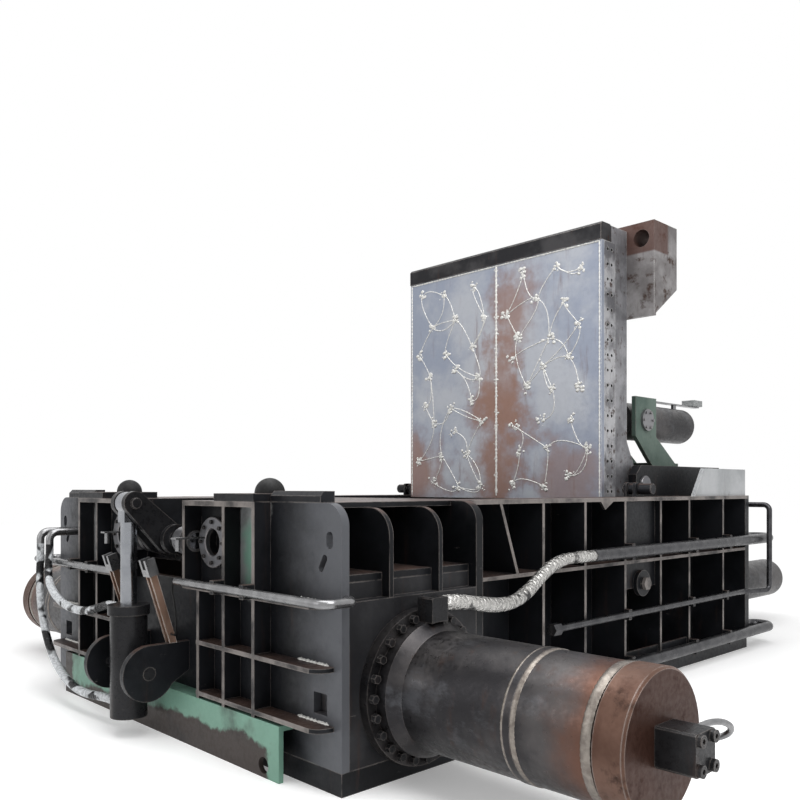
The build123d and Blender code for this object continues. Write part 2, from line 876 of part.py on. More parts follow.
# Side rams: a box head with a rod and a piston
side_ram_length = arm_reach - end_plate - wall_inner_x - 2 * face_gap
side_ram_x = wall_inner_x + running_gap
ram_plate = 60
piston_x = tube_end_x - piston_length - face_gap
with BuildPart() as side_ram:
    block(
        (side_ram_x, side_ram_x + side_ram_length),
        (arm_front_y + running_gap, arm_back_y - running_gap),
        (ram_low, ram_top),
    )
    block(
        (side_ram_x + 2 * ram_plate, side_ram_x + side_ram_length + cut_overrun),
        (arm_front_y + running_gap + ram_plate, arm_back_y - running_gap - ram_plate),
        (ram_low + ram_plate, ram_top - ram_plate),
        mode=Mode.SUBTRACT,
    )
    with BuildSketch(side_plane(side_ram_x + ram_plate)):
        with Locations((arm_axis_y, side_axis_z)):
            Circle(side_rod_radius)
    extrude(amount=piston_x - side_ram_x - ram_plate)
    with BuildSketch(side_plane(piston_x)):
        with Locations((arm_axis_y, side_axis_z)):
            Circle(side_bore_radius - fit_gap)
    extrude(amount=piston_length)
save_twins(side_ram.part, "near_side_ram", "far_side_ram")

# Main ram: a hollow box open at the back, with two rods and pistons
main_ram_proud = 15
main_ram_face_y = rear_roof_y - main_ram_proud
main_face_plate = 150
main_ram_half = wall_inner_x - 2 * running_gap
main_ram_tail_y = tail_inner_y - 4 * face_gap
main_tube_clearance = 60
main_tube_front_y = main_ram_face_y + main_face_plate + main_tube_clearance
main_cap_length = 80
main_gland_length = 80
main_piston_length = 80
main_piston_y = main_tube_end_y - main_cap_length - face_gap - main_piston_length
with BuildPart() as main_ram:
    block((-main_ram_half, main_ram_half), (main_ram_face_y, main_ram_tail_y), (ram_low, ram_top))
    block(
        (-main_ram_half + ram_plate, main_ram_half - ram_plate),
        (main_ram_face_y + main_face_plate, main_ram_tail_y + cut_overrun),
        (ram_low + ram_plate, ram_top - ram_plate),
        mode=Mode.SUBTRACT,
    )
    with BuildSketch(front_plane(main_piston_y)):
        with Locations((-main_cylinder_x, main_axis_z), (main_cylinder_x, main_axis_z)):
            Circle(main_rod_radius)
    extrude(amount=main_piston_y - main_ram_face_y - main_face_plate / 2)
    with BuildSketch(front_plane(main_piston_y + main_piston_length)):
        with Locations((-main_cylinder_x, main_axis_z), (main_cylinder_x, main_axis_z)):
            Circle(main_bore_radius - fit_gap)
    extrude(amount=main_piston_length)
save(main_ram.part, "main_ram")

# Main cylinders through the tail wall, with a mounting flange and a domed cap
main_flange_radius = 290
main_flange_thickness = 60
with BuildPart() as main_cylinder:
    with BuildSketch(Plane.XY):
        with BuildLine():
            Polyline(
                (main_rod_radius + face_gap, main_tube_front_y),
                (main_tube_radius, main_tube_front_y),
                (main_tube_radius, tail_y),
                (main_flange_radius, tail_y),
                (main_flange_radius, tail_y + main_flange_thickness),
                (main_tube_radius, tail_y + main_flange_thickness),
                (main_tube_radius, main_tube_end_y - main_cap_length / 4),
                (main_tube_radius - main_cap_length / 4, main_tube_end_y),
                (0, main_tube_end_y),
                (0, main_tube_end_y - main_cap_length),
                (main_bore_radius, main_tube_end_y - main_cap_length),
                (main_bore_radius, main_tube_front_y + main_gland_length),
                (main_rod_radius + face_gap, main_tube_front_y + main_gland_length),
                close=True,
            )
        make_face()
    revolve(axis=Axis.Y)
main_tube = main_cylinder.part.moved(Location((main_cylinder_x, 0, main_axis_z)))
save_pair(main_tube, "main_cylinders")

# Lid body: a box of plate with open bays at the back, hinge arms and rod lugs
strip_plate = 15
lid_blade_height = 150
lid_blade_depth = 150
lid_blade_proud = 10
bay_columns = 3
bay_rows = 3
bay_wall = 60
lid_face_plate = 80
bay_depth = lid_thickness - wear_plate - lid_face_plate
lid_body_half = lid_half_width - strip_plate
bay_width = (2 * lid_body_half - (bay_columns + 1) * bay_wall) / bay_columns
bay_height = (lid_height - (bay_rows + 1) * bay_wall) / bay_rows
hinge_arm_radius = 130
hinge_arm_rise = 500
lug_gap_half = 70
lug_plate = 40
lug_radius = 90
lug_root = 120
lug_boss = 25
with BuildPart() as lid:
    with BuildSketch(front_plane(lid_back_y)):
        with Locations((0, lid_low + lid_height / 2)):
            Rectangle(2 * lid_body_half, lid_height)
    extrude(amount=lid_thickness - wear_plate)
    with BuildSketch(front_plane(lid_back_y)):
        with Locations((0, lid_low + lid_height / 2)):
            with GridLocations(bay_width + bay_wall, bay_height + bay_wall, bay_columns, bay_rows):
                Rectangle(bay_width, bay_height)
    extrude(amount=bay_depth, mode=Mode.SUBTRACT)
    block(
        (-lid_half_width, lid_half_width),
        (wear_y, wear_y + lid_blade_depth),
        (lid_top - lid_blade_height, lid_top + cut_overrun),
        mode=Mode.SUBTRACT,
    )
    for side in (-1, 1):
        arm_start_x = hinge_arm_x if side > 0 else -lid_body_half
        with BuildSketch(side_plane(arm_start_x)):
            with BuildLine():
                Polyline(
                    (hinge_y, hinge_z - hinge_arm_radius),
                    (lid_back_y, lid_low),
                    (lid_back_y, lid_low + hinge_arm_rise),
                    (hinge_y + hinge_arm_radius, hinge_z),
                    (hinge_y, hinge_z - hinge_arm_radius),
                )
            make_face()
            with Locations((hinge_y, hinge_z)):
                Circle(hinge_arm_radius)
                Circle(hinge_pin_radius + fit_gap, mode=Mode.SUBTRACT)
        extrude(amount=lid_body_half - hinge_arm_x)
        for ear in (-1, 1):
            ear_x = side * lid_cylinder_x + ear * (lug_gap_half + lug_plate / 2) - lug_plate / 2
            with BuildSketch(side_plane(ear_x)):
                with BuildLine():
                    Polyline(
                        (lid_back_y - lug_plate, lid_trunnion_z - lug_root),
                        (lid_pin_y, lid_trunnion_z - lug_radius),
                        (lid_pin_y, lid_trunnion_z + lug_radius),
                        (lid_back_y - lug_plate, lid_trunnion_z + lug_root),
                        close=True,
                    )
                make_face()
                with Locations((lid_pin_y, lid_trunnion_z)):
                    Circle(lug_radius)
            extrude(amount=lug_plate)
            boss_x = ear_x + lug_plate if ear > 0 else ear_x - lug_boss
            with BuildSketch(side_plane(boss_x)):
                with Locations((lid_pin_y, lid_trunnion_z)):
                    Circle(lid_pin_radius + lug_boss / 2)
            extrude(amount=lug_boss)
        root_x = side * lid_cylinder_x
        block(
            (root_x - lug_gap_half - lug_plate, root_x + lug_gap_half + lug_plate),
            (lid_back_y - bay_depth - lug_plate, lid_back_y),
            (lid_trunnion_z - lug_root, lid_trunnion_z + lug_root),
        )
save(lid.part, "lid_body")

# Wear plates of the lid, one each side of the middle seam
seam_gap = 4
with BuildPart() as wear:
    block(
        (seam_gap / 2, lid_half_width),
        (wear_y, wear_y + wear_plate),
        (lid_low, lid_top - lid_blade_height),
    )
save_pair(wear.part, "lid_wear_plates")

# Side strips of the lid with two columns of sunk hexagon sockets
strip_depth = 170
strip_columns = 2
strip_rows = 17
strip_column_pitch = 60
socket_radius = 15
socket_depth = 10
with BuildPart() as strip:
    block(
        (lid_body_half, lid_half_width),
        (wear_y + wear_plate, wear_y + wear_plate + strip_depth),
        (lid_low, lid_top - lid_blade_height),
    )
    with BuildSketch(side_plane(lid_half_width)):
        with Locations((wear_y + wear_plate + strip_depth / 2, (lid_low + lid_top - lid_blade_height) / 2)):
            with GridLocations(
                strip_column_pitch,
                (lid_height - lid_blade_height) / strip_rows,
                strip_columns,
                strip_rows,
            ):
                RegularPolygon(socket_radius, side_count=6)
    extrude(amount=-socket_depth, mode=Mode.SUBTRACT)
save_pair(strip.part, "lid_side_strips")

# Moving shear blade along the free edge of the lid
with BuildPart() as lid_blade:
    block(
        (-lid_half_width, lid_half_width),
        (wear_y - lid_blade_proud, wear_y + lid_blade_depth),
        (lid_top - lid_blade_height, lid_top),
    )
    blade_edges = lid_blade.edges().filter_by(Axis.X).sort_by(Axis.Z)[-2:]
    chamfer(blade_edges, length=lid_blade_proud * 2)
save(lid_blade.part, "lid_blade")

# Lock brackets at the upper back corners of the lid: a bored block on a five-sided box
bracket_inner_x = 1000
bracket_overhang = 246
bracket_outer_x = lid_half_width + bracket_overhang
bracket_depth = 390
bracket_rise = 50
bracket_top_z = lid_top + bracket_rise
bracket_block_height = 272
bracket_back_drop = 537
bracket_low_drop = 810
bracket_plate = 30
bracket_bore_radius = 75
with BuildPart() as bracket:
    for plate_x in (bracket_inner_x, bracket_outer_x - bracket_plate):
        with BuildSketch(side_plane(plate_x)):
            with BuildLine():
                Polyline(
                    (lid_back_y, bracket_top_z),
                    (lid_back_y + bracket_depth, bracket_top_z),
                    (lid_back_y + bracket_depth, bracket_top_z - bracket_back_drop),
                    (lid_back_y, bracket_top_z - bracket_low_drop),
                    close=True,
                )
            make_face()
        extrude(amount=bracket_plate)
    block(
        (bracket_inner_x, bracket_outer_x),
        (lid_back_y, lid_back_y + bracket_depth),
        (bracket_top_z - bracket_block_height, bracket_top_z),
    )
    block(
        (bracket_inner_x, bracket_outer_x),
        (lid_back_y, lid_back_y + bracket_plate),
        (bracket_top_z - bracket_low_drop, bracket_top_z - bracket_block_height),
    )
    block(
        (bracket_inner_x, bracket_outer_x),
        (lid_back_y + bracket_depth - bracket_plate, lid_back_y + bracket_depth),
        (bracket_top_z - bracket_back_drop, bracket_top_z - bracket_block_height),
    )
    with BuildSketch(front_plane(lid_back_y + bracket_depth)):
        with Locations((lid_half_width + bracket_overhang / 2, bracket_top_z - bracket_block_height / 2)):
            Circle(bracket_bore_radius)
    extrude(amount=bracket_depth, mode=Mode.SUBTRACT)
save_pair(bracket.part, "lid_brackets")

# Lid cylinder barrels with front trunnions
rod_gap = 0.3
lid_head_reach = 170
lid_bore_radius = 140
lid_gland_length = 110
lid_trunnion_radius = 55
stand_gap = 5
stand_plate = 40
lid_barrel_front_y = lid_trunnion_y - lid_head_reach
lid_barrel_end_y = lid_trunnion_y + lid_barrel_length
stand_inner = lid_barrel_radius + stand_gap
lid_cap_length = 60
with BuildPart() as lid_barrel:
    with BuildSketch(Plane.XY):
        with BuildLine():
            Polyline(
                (lid_rod_radius + rod_gap, lid_barrel_front_y),
                (lid_barrel_radius, lid_barrel_front_y),
                (lid_barrel_radius, lid_barrel_end_y - lid_cap_length / 3),
                (lid_barrel_radius - lid_cap_length / 3, lid_barrel_end_y),
                (0, lid_barrel_end_y),
                (0, lid_barrel_end_y - lid_cap_length),
                (lid_bore_radius, lid_barrel_end_y - lid_cap_length),
                (lid_bore_radius, lid_barrel_front_y + lid_gland_length),
                (lid_rod_radius + rod_gap, lid_barrel_front_y + lid_gland_length),
                close=True,
            )
        make_face()
    revolve(axis=Axis.Y)
    with BuildSketch(side_plane(lid_bore_radius + rod_gap)):
        with Locations((lid_trunnion_y, 0)):
            Circle(lid_trunnion_radius)
    extrude(amount=stand_inner + stand_plate - lid_bore_radius - rod_gap)
    with BuildSketch(side_plane(-lid_bore_radius - rod_gap)):
        with Locations((lid_trunnion_y, 0)):
            Circle(lid_trunnion_radius)
    extrude(amount=-(stand_inner + stand_plate - lid_bore_radius - rod_gap))
lid_barrel_placed = lid_barrel.part.moved(Location((lid_cylinder_x, 0, lid_trunnion_z)))
save_pair(lid_barrel_placed, "lid_barrels")

# Lid cylinder rods with an eye and a piston
lid_eye_radius = 85
lid_eye_half = 60
lid_neck_length = 150
lid_piston_length = 110
lid_piston_y = lid_barrel_end_y - lid_cap_length - face_gap - lid_piston_length
with BuildPart() as lid_rod:
    with BuildSketch(side_plane(-lid_eye_half)):
        with Locations((lid_pin_y, 0)):
            Circle(lid_eye_radius)
        with Locations((lid_pin_y + lid_neck_length / 2, 0)):
            Rectangle(lid_neck_length, 2 * lid_eye_half)
        with Locations((lid_pin_y, 0)):
            Circle(lid_pin_radius, mode=Mode.SUBTRACT)
    extrude(amount=2 * lid_eye_half)
    with BuildSketch(front_plane(lid_piston_y)):
        Circle(lid_rod_radius)
    extrude(amount=lid_piston_y - lid_pin_y - lid_neck_length)
    with BuildSketch(front_plane(lid_piston_y + lid_piston_length)):
        Circle(lid_bore_radius - rod_gap)
    extrude(amount=lid_piston_length)
lid_rod_placed = lid_rod.part.moved(Location((lid_cylinder_x, 0, lid_trunnion_z)))
save_pair(lid_rod_placed, "lid_rods")

# Stands of the lid cylinders: a pair of plates with leaning legs, a back web and bolted trunnion caps
stand_head = (185, 185)
stand_head_top = 210
stand_head_low = 150
stand_leg_reach = 420
stand_leg_width = 480
cap_radius = 100
cap_thickness = 25
cap_bolt_circle = 78
cap_bolt_count = 6
cap_bolt_radius = 14
stand_front_y = lid_trunnion_y - stand_head[0]
stand_back_y = lid_trunnion_y + stand_head[1]
with BuildPart() as stand:
    for plate_x in (lid_cylinder_x - stand_inner - stand_plate, lid_cylinder_x + stand_inner):
        with BuildSketch(side_plane(plate_x)):
            with BuildLine():
                Polyline(
                    (stand_front_y, lid_trunnion_z + stand_head_top),
                    (stand_back_y, lid_trunnion_z + stand_head_top),
                    (stand_back_y, lid_trunnion_z - stand_head_low),
                    (stand_back_y + stand_leg_reach, cover_top_z),
                    (stand_back_y + stand_leg_reach - stand_leg_width, cover_top_z),
                    (stand_front_y, lid_trunnion_z - stand_head_low),
                    close=True,
                )
            make_face()
            with Locations((lid_trunnion_y, lid_trunnion_z)):
                Circle(lid_trunnion_radius + fit_gap, mode=Mode.SUBTRACT)
        extrude(amount=stand_plate)
    block(
        (lid_cylinder_x - stand_inner - stand_plate, lid_cylinder_x + stand_inner + stand_plate),
        (stand_back_y + stand_leg_reach - stand_leg_width, stand_back_y + stand_leg_reach),
        (cover_top_z, cover_top_z + stand_plate),
    )
save_pair(stand.part, "cylinder_stands")

with BuildPart() as caps:
    outer_face = lid_cylinder_x + stand_inner + stand_plate
    with BuildSketch(side_plane(outer_face)):
        with Locations((lid_trunnion_y, lid_trunnion_z)):
            Circle(cap_radius)
    extrude(amount=cap_thickness)
    with BuildSketch(side_plane(outer_face + cap_thickness)):
        with Locations((lid_trunnion_y, lid_trunnion_z)):
            with PolarLocations(cap_bolt_circle, cap_bolt_count):
                RegularPolygon(cap_bolt_radius, side_count=6)
    extrude(amount=cap_bolt_radius)
save_pair(caps.part, "trunnion_caps")

# Cable bar and junction box on the near lid barrel
bar_width = 60
bar_plate = 12
bar_lift = 40
bar_post_shares = (0.15, 0.6)
bar_start_y = lid_trunnion_y + stand_head[1] + face_gap
bar_length = 1230
box_size = (140, 190, 60)
box_corner = 10
barrel_top_z = lid_trunnion_z + lid_barrel_radius
with BuildPart() as cable_bar:
    block(
        (lid_cylinder_x - bar_width / 2, lid_cylinder_x + bar_width / 2),
        (bar_start_y, bar_start_y + bar_length),
        (barrel_top_z + bar_lift, barrel_top_z + bar_lift + bar_plate),
    )
    for share in bar_post_shares:
        post_y = bar_start_y + share * bar_length
        block(
            (lid_cylinder_x - bar_plate, lid_cylinder_x + bar_plate),
            (post_y - bar_width / 2, post_y + bar_width / 2),
            (barrel_top_z + fit_gap, barrel_top_z + bar_lift),
        )
save(cable_bar.part, "cable_bar")

with BuildPart() as junction_box:
    block(
        (lid_cylinder_x - box_size[0] / 2, lid_cylinder_x + box_size[0] / 2),
        (bar_start_y + bar_length - box_size[1], bar_start_y + bar_length),
        (barrel_top_z + bar_lift + bar_plate, barrel_top_z + bar_lift + bar_plate + box_size[2]),
    )
    fillet(junction_box.edges().filter_by(Axis.Z), radius=box_corner)
save(junction_box.part, "junction_box")

# Bale door: a ribbed plate over the bale chamber, on two arms from the front shaft
door_clearance = 8
door_plate = 92
door_front_gap = 75
door_back_gap = 25
door_rib_x = 340
door_rib_height = 110
door_arm_x = 130
door_arm_plate = 40
door_arm_radius = 95
door_arm_run = 400
door_low = ram_top + door_clearance
door_top = door_low + door_plate
door_front_y = arm_front_y + door_front_gap
door_back_y = arm_back_y - door_back_gap
with BuildPart() as door:
    block((-door_half_width, door_half_width), (door_front_y, door_back_y), (door_low, door_top))
    for rib_x in (-door_rib_x, 0, door_rib_x):
        block(
            (rib_x - rib_plate / 2, rib_x + rib_plate / 2),
            (door_front_y + door_front_gap, door_back_y - door_front_gap),
            (door_top, door_top + door_rib_height),
        )
    for arm_x in (-door_arm_x - door_arm_plate, door_arm_x):
        with BuildSketch(side_plane(arm_x)):
            with BuildLine():
                Polyline(
                    (shaft_y, shaft_z - door_arm_radius),
                    (door_front_y, door_low + door_clearance),
                    (door_front_y + door_arm_run, door_low + door_clearance),
                    (door_front_y + door_arm_run, door_top + door_rib_height),
                    (shaft_y, shaft_z + door_arm_radius),
                    close=True,
                )
            make_face()
            with Locations((shaft_y, shaft_z)):
                Circle(door_arm_radius)
                Circle(shaft_radius + fit_gap, mode=Mode.SUBTRACT)
        extrude(amount=door_arm_plate)
save(door.part, "bale_door")

# Door shaft with its tapered bearings
shaft_overhang = 35
shaft_end_x = bearing_plate_x + shaft_overhang
bearing_inner_x = 260
bearing_slim_radius = 85
bearing_root_radius = 100
with BuildPart() as shaft:
    with BuildSketch(side_plane(-shaft_end_x)):
        with Locations((shaft_y, shaft_z)):
            Circle(shaft_radius)
    extrude(amount=2 * shaft_end_x)
save(shaft.part, "door_shaft")

with BuildPart() as bearing:
    with BuildSketch(Plane.XY):
        with BuildLine():
            Polyline(
                (bearing_inner_x, shaft_radius + fit_gap),
                (bearing_inner_x, bearing_slim_radius),
                (bearing_plate_x, bearing_root_radius),
                (bearing_plate_x, bearing_bore - fit_gap),
                (shaft_end_x, bearing_bore - fit_gap),
                (shaft_end_x, shaft_radius + fit_gap),
                close=True,
            )
        make_face()
    revolve(axis=Axis.X)
bearing_placed = bearing.part.moved(Location((0, shaft_y, shaft_z)))
save_pair(bearing_placed, "shaft_bearings")

# Pear-shaped levers on the shaft, with the heads of the rod pin outside
lever_reach = (lever_throw_y**2 + lever_rise**2) ** 0.5
hub_share = lever_hub_radius / lever_reach
tip_share = lever_tip_radius / lever_reach
hub_side = (hub_share * lever_rise, hub_share * lever_throw_y)
tip_side = (tip_share * lever_rise, tip_share * lever_throw_y)
pin_head = 18
with BuildPart() as lever:
    with BuildSketch(side_plane(lever_gap_half)):
        with BuildLine():
            Polyline(
                (shaft_y + hub_side[0], shaft_z + hub_side[1]),
                (lever_pin_y + tip_side[0], lever_pin_z + tip_side[1]),
                (lever_pin_y - tip_side[0], lever_pin_z - tip_side[1]),
                (shaft_y - hub_side[0], shaft_z - hub_side[1]),
                close=True,
            )
        make_face()
        with Locations((lever_pin_y, lever_pin_z)):
            Circle(lever_tip_radius)
        with Locations((shaft_y, shaft_z)):
            Circle(lever_hub_radius)
            Circle(shaft_radius + fit_gap, mode=Mode.SUBTRACT)
    extrude(amount=lever_plate)
    with BuildSketch(side_plane(lever_gap_half + lever_plate)):
        with Locations((lever_pin_y, lever_pin_z)):
            Circle(lever_pin_radius)
    extrude(amount=pin_head)
    chamfer(lever.faces().sort_by(Axis.X)[-1].edges(), length=pin_head / 4)
save_pair(lever.part, "door_levers")

# Door cylinder barrel with trunnions, a bolted head and two ports
door_gland_length = 70
door_cap_length = 40
door_head_radius = 128
door_head_length = 60
port_reach = 37
port_radius = 32
upper_port_z = 785
lower_port_z = 170
door_barrel_top = door_barrel_low + door_barrel_length
with BuildPart() as door_barrel:
    with BuildSketch(Plane.XZ):
        with BuildLine():
            Polyline(
                (0, door_barrel_low),
                (door_barrel_radius, door_barrel_low),
                (door_barrel_radius, door_barrel_top - door_head_length),
                (door_head_radius, door_barrel_top - door_head_length),
                (door_head_radius, door_barrel_top),
                (door_rod_radius + rod_gap, door_barrel_top),
                (door_rod_radius + rod_gap, door_barrel_top - door_gland_length),
                (door_barrel_bore, door_barrel_top - door_gland_length),
                (door_barrel_bore, door_barrel_low + door_cap_length),
                (0, door_barrel_low + door_cap_length),
                close=True,
            )
        make_face()
    revolve(axis=Axis.Z)
    trunnion_end = trunnion_ear_x + trunnion_ear_plate
    for side in (-1, 1):
        with BuildSketch(side_plane(side * (door_barrel_bore + face_gap))):
            with Locations((0, door_trunnion_z)):
                Circle(door_trunnion_radius)
        extrude(amount=side * (trunnion_end - door_barrel_bore - face_gap))
    for port_z in (upper_port_z, lower_port_z):
        with BuildSketch(side_plane(-door_barrel_bore - face_gap)):
            with Locations((0, port_z)):
                Circle(port_radius)
        extrude(amount=-(door_barrel_radius + port_reach - door_barrel_bore - face_gap))
door_barrel_placed = door_barrel.part.moved(Location((0, lever_pin_y, 0)))
save(door_barrel_placed, "door_barrel")

# Door cylinder rod with an eye and a piston
door_eye_radius = 70
door_eye_half = 45
door_neck_length = 120
door_piston_length = 60
door_piston_top = door_barrel_top - door_gland_length - face_gap
with BuildPart() as door_rod:
    with BuildSketch(side_plane(-door_eye_half)):
        with Locations((lever_pin_y, lever_pin_z)):
            Circle(door_eye_radius)
        with Locations((lever_pin_y, lever_pin_z - door_neck_length / 2)):
            Rectangle(2 * door_rod_radius, door_neck_length)
        with Locations((lever_pin_y, lever_pin_z)):
            Circle(lever_pin_radius, mode=Mode.SUBTRACT)
    extrude(amount=2 * door_eye_half)
    with BuildSketch(Plane.XY.offset(door_piston_top)):
        with Locations((0, lever_pin_y)):
            Circle(door_rod_radius)
    extrude(amount=lever_pin_z - door_neck_length - door_piston_top)
    with BuildSketch(Plane.XY.offset(door_piston_top - door_piston_length)):
        with Locations((0, lever_pin_y)):
            Circle(door_barrel_bore - rod_gap)
    extrude(amount=door_piston_length)
save(door_rod.part, "door_rod")

# Ears that carry the door cylinder on the front wall
ear_root_z = (410, 590)
with BuildPart() as ear:
    with BuildSketch(side_plane(trunnion_ear_x)):
        with BuildLine():
            Polyline(
                (lever_pin_y, door_trunnion_z + trunnion_ear_radius),
                (front_wall_y, ear_root_z[1]),
                (front_wall_y, ear_root_z[0]),
                (lever_pin_y, door_trunnion_z - trunnion_ear_radius),
                close=True,
            )
        make_face()
        with Locations((lever_pin_y, door_trunnion_z)):
            Circle(trunnion_ear_radius)
            Circle(door_trunnion_radius + fit_gap, mode=Mode.SUBTRACT)
    extrude(amount=trunnion_ear_plate)
save_pair(ear.part, "trunnion_ears")

# Leaning posts on the ears with forked heads
post_x = trunnion_ear_x + trunnion_ear_plate / 2
post_size = (60, 46)
post_web = 12
post_stand_off = 115
post_foot_y = front_wall_y - post_stand_off
post_length = 445
post_lean = 17.5
post_lap = 12
fork_size = (84, 64, 46)
prong_size = (24, 64, 60)
post_plane = Plane(Location((post_x, post_foot_y, ear_root_z[1]), (post_lean, 0, 0)))
with BuildPart() as post:
    with BuildSketch(post_plane.offset(-post_lap)):
        Rectangle(*post_size)
        with Locations((0, -post_web)):
            Rectangle(post_size[0] - 2 * post_web, post_size[1], mode=Mode.SUBTRACT)
    extrude(amount=post_length + post_lap)
    block(
        (post_x - post_size[0], post_x + post_size[0]),
        (post_foot_y - post_length, post_foot_y + post_length),
        (ear_root_z[0], ear_root_z[1]),
        mode=Mode.SUBTRACT,
    )
save_pair(post.part, "stop_posts")

with BuildPart() as fork:
    with BuildSketch(post_plane.offset(post_length)):
        Rectangle(fork_size[0], fork_size[1])
    extrude(amount=fork_size[2])
    with BuildSketch(post_plane.offset(post_length + fork_size[2])):
        for side in (-1, 1):
            with Locations((side * (fork_size[0] - prong_size[0]) / 2, 0)):
                Rectangle(prong_size[0], prong_size[1])
    extrude(amount=prong_size[2])
save_pair(fork.part, "fork_heads")

# Position sensors on plates bolted to the ring faces
sensor_x = (450, 510)
sensor_rise = 20
sensor_plate_z = shaft_z + sensor_rise
sensor_plate = 10
sensor_reach = 195
sensor_radius = 15
sensor_length = 70
ring_face_y = front_wall_y - ring_thickness
with BuildPart() as sensor:
    block(
        sensor_x,
        (ring_face_y - sensor_reach, ring_face_y),
        (sensor_plate_z, sensor_plate_z + sensor_plate),
    )
    with BuildSketch(Plane.XY.offset(sensor_plate_z)):
        with Locations(((sensor_x[0] + sensor_x[1]) / 2, ring_face_y - sensor_reach + 2 * sensor_radius)):
            Circle(sensor_radius)
    extrude(amount=-sensor_length)
save_pair(sensor.part, "sensors")

# Pressure pipes along the near side, from the arm back to the tail wall
big_pipe = 95
small_pipe = 50
big_pipe_stand_off = 60
small_pipe_stand_off = 30
riser_stand_off = 150
big_return_inset = 140
small_return_inset = 120
pipe_turn_reach = 385
riser_reach = 115
big_pipe_x = rib_face_x + big_pipe_stand_off
return_x = rib_face_x - big_return_inset
small_pipe_x = rib_face_x + small_pipe_stand_off
riser_x = rib_face_x + riser_stand_off
pipe_turn_y = tail_y + pipe_turn_reach
riser_y = tail_y + riser_reach
upper_pipe_z = 1050
small_pipe_z = 560
riser_top_drop = 60
riser_top_z = flange_low - riser_top_drop
lower_pipe_z = 175
upper_pipe_front_y = -230
small_pipe_front_y = -700
small_pipe_bend_y = 2350
small_return_x = rib_face_x - small_return_inset
fitting_radius = 45
fitting_length = 90
small_bend = 55
with BuildPart() as pipes:
    for pipe_z, pipe_front_y in ((upper_pipe_z, upper_pipe_front_y), (lower_pipe_z, arm_back_outer_y)):
        with BuildLine():
            FilletPolyline(
                (big_pipe_x, pipe_front_y, pipe_z),
                (big_pipe_x, pipe_turn_y, pipe_z),
                (return_x, pipe_turn_y, pipe_z),
                (return_x, tail_y, pipe_z),
                radius=big_pipe,
            )
        with BuildSketch(Plane(origin=(big_pipe_x, pipe_front_y, pipe_z), z_dir=(0, 1, 0))):
            Circle(big_pipe / 2)
        sweep()
    with BuildLine():
        FilletPolyline(
            (small_pipe_x, small_pipe_front_y, small_pipe_z),
            (small_pipe_x, small_pipe_bend_y, small_pipe_z),
            (riser_x, riser_y, small_pipe_z),
            (riser_x, riser_y, riser_top_z),
            (small_return_x, riser_y, riser_top_z),
            (small_return_x, tail_y, riser_top_z),
            radius=small_bend,
        )
    with BuildSketch(Plane(origin=(small_pipe_x, small_pipe_front_y, small_pipe_z), z_dir=(0, 1, 0))):
        Circle(small_pipe / 2)
    sweep()
    with BuildSketch(front_plane(small_pipe_front_y + fitting_length)):
        with Locations((small_pipe_x, small_pipe_z)):
            RegularPolygon(fitting_radius, side_count=6)
    extrude(amount=fitting_length)
save(pipes.part, "pressure_pipes")

# Conduits across the front, and the elbows of the two door hoses on the far side
conduit = 48
conduit_stand_off = 60
conduit_y = rib_face_y - conduit_stand_off
conduit_z = 985
conduit_inner_x = 417
conduit_overhang = 80
conduit_outer_x = arm_reach + conduit_overhang
conduit_bend = 60
elbow_x = (-1400, -1580)
elbow_top_drop = 260
elbow_z = frame_height - elbow_top_drop
elbow_reach = 225
elbow_drop = 90
elbow_y = front_wall_y - elbow_reach
elbow_end_z = elbow_z - elbow_drop
hose = 56
wall_middle_y = front_wall_y + wall_plate / 2
with BuildPart() as conduit_run:
    with BuildLine():
        FilletPolyline(
            (conduit_inner_x, conduit_y, conduit_z),
            (conduit_outer_x, conduit_y, conduit_z),
            (conduit_outer_x, wall_middle_y, conduit_z),
            (arm_reach, wall_middle_y, conduit_z),
            radius=conduit_bend,
        )
    with BuildSketch(Plane(origin=(conduit_inner_x, conduit_y, conduit_z), z_dir=(1, 0, 0))):
        Circle(conduit / 2)
    sweep()

with BuildPart() as conduits:
    add(conduit_run.part)
    mirror(conduit_run.part, about=Plane.YZ)
    for start_x in elbow_x:
        with BuildLine():
            FilletPolyline(
                (start_x, front_wall_y, elbow_z),
                (start_x, elbow_y, elbow_z),
                (start_x, elbow_y, elbow_end_z),
                radius=conduit_bend,
            )
        with BuildSketch(Plane(origin=(start_x, front_wall_y, elbow_z), z_dir=(0, -1, 0))):
            Circle(hose / 2)
        sweep()
save(conduits.part, "conduits")

# Clamps that hold the pipes to the ribs and the conduits to the posts
clamp_half = 20
clamp_wall = 15
clamp_ribs = (2, 4, 5)
with BuildPart() as clamps:
    for index in clamp_ribs:
        rib_y = arm_back_outer_y + wall_rib_shares[index] * channel_span
        for pipe_x, pipe_z, pipe_size in (
            (big_pipe_x, upper_pipe_z, big_pipe),
            (big_pipe_x, lower_pipe_z, big_pipe),
            (small_pipe_x, small_pipe_z, small_pipe),
        ):
            block(
                (rib_face_x, pipe_x + clamp_wall),
                (rib_y - clamp_half, rib_y + clamp_half),
                (pipe_z - pipe_size / 2 - clamp_wall, pipe_z + pipe_size / 2 + clamp_wall),
            )
            with Locations(Location((pipe_x, rib_y, pipe_z), (90, 0, 0))):
                Cylinder(pipe_size / 2 + rod_gap, 4 * clamp_half, mode=Mode.SUBTRACT)
    for side in (-1, 1):
        for post_index in (0, 1):
            clamp_x = side * upper_post_x[post_index]
            block(
                (clamp_x - clamp_half, clamp_x + clamp_half),
                (conduit_y - clamp_wall, rib_face_y),
                (conduit_z - conduit / 2 - clamp_wall, conduit_z + conduit / 2 + clamp_wall),
            )
            with Locations(Location((clamp_x, conduit_y, conduit_z), (0, 90, 0))):
                Cylinder(conduit / 2 + rod_gap, 4 * clamp_half, mode=Mode.SUBTRACT)
save(clamps.part, "pipe_clamps")

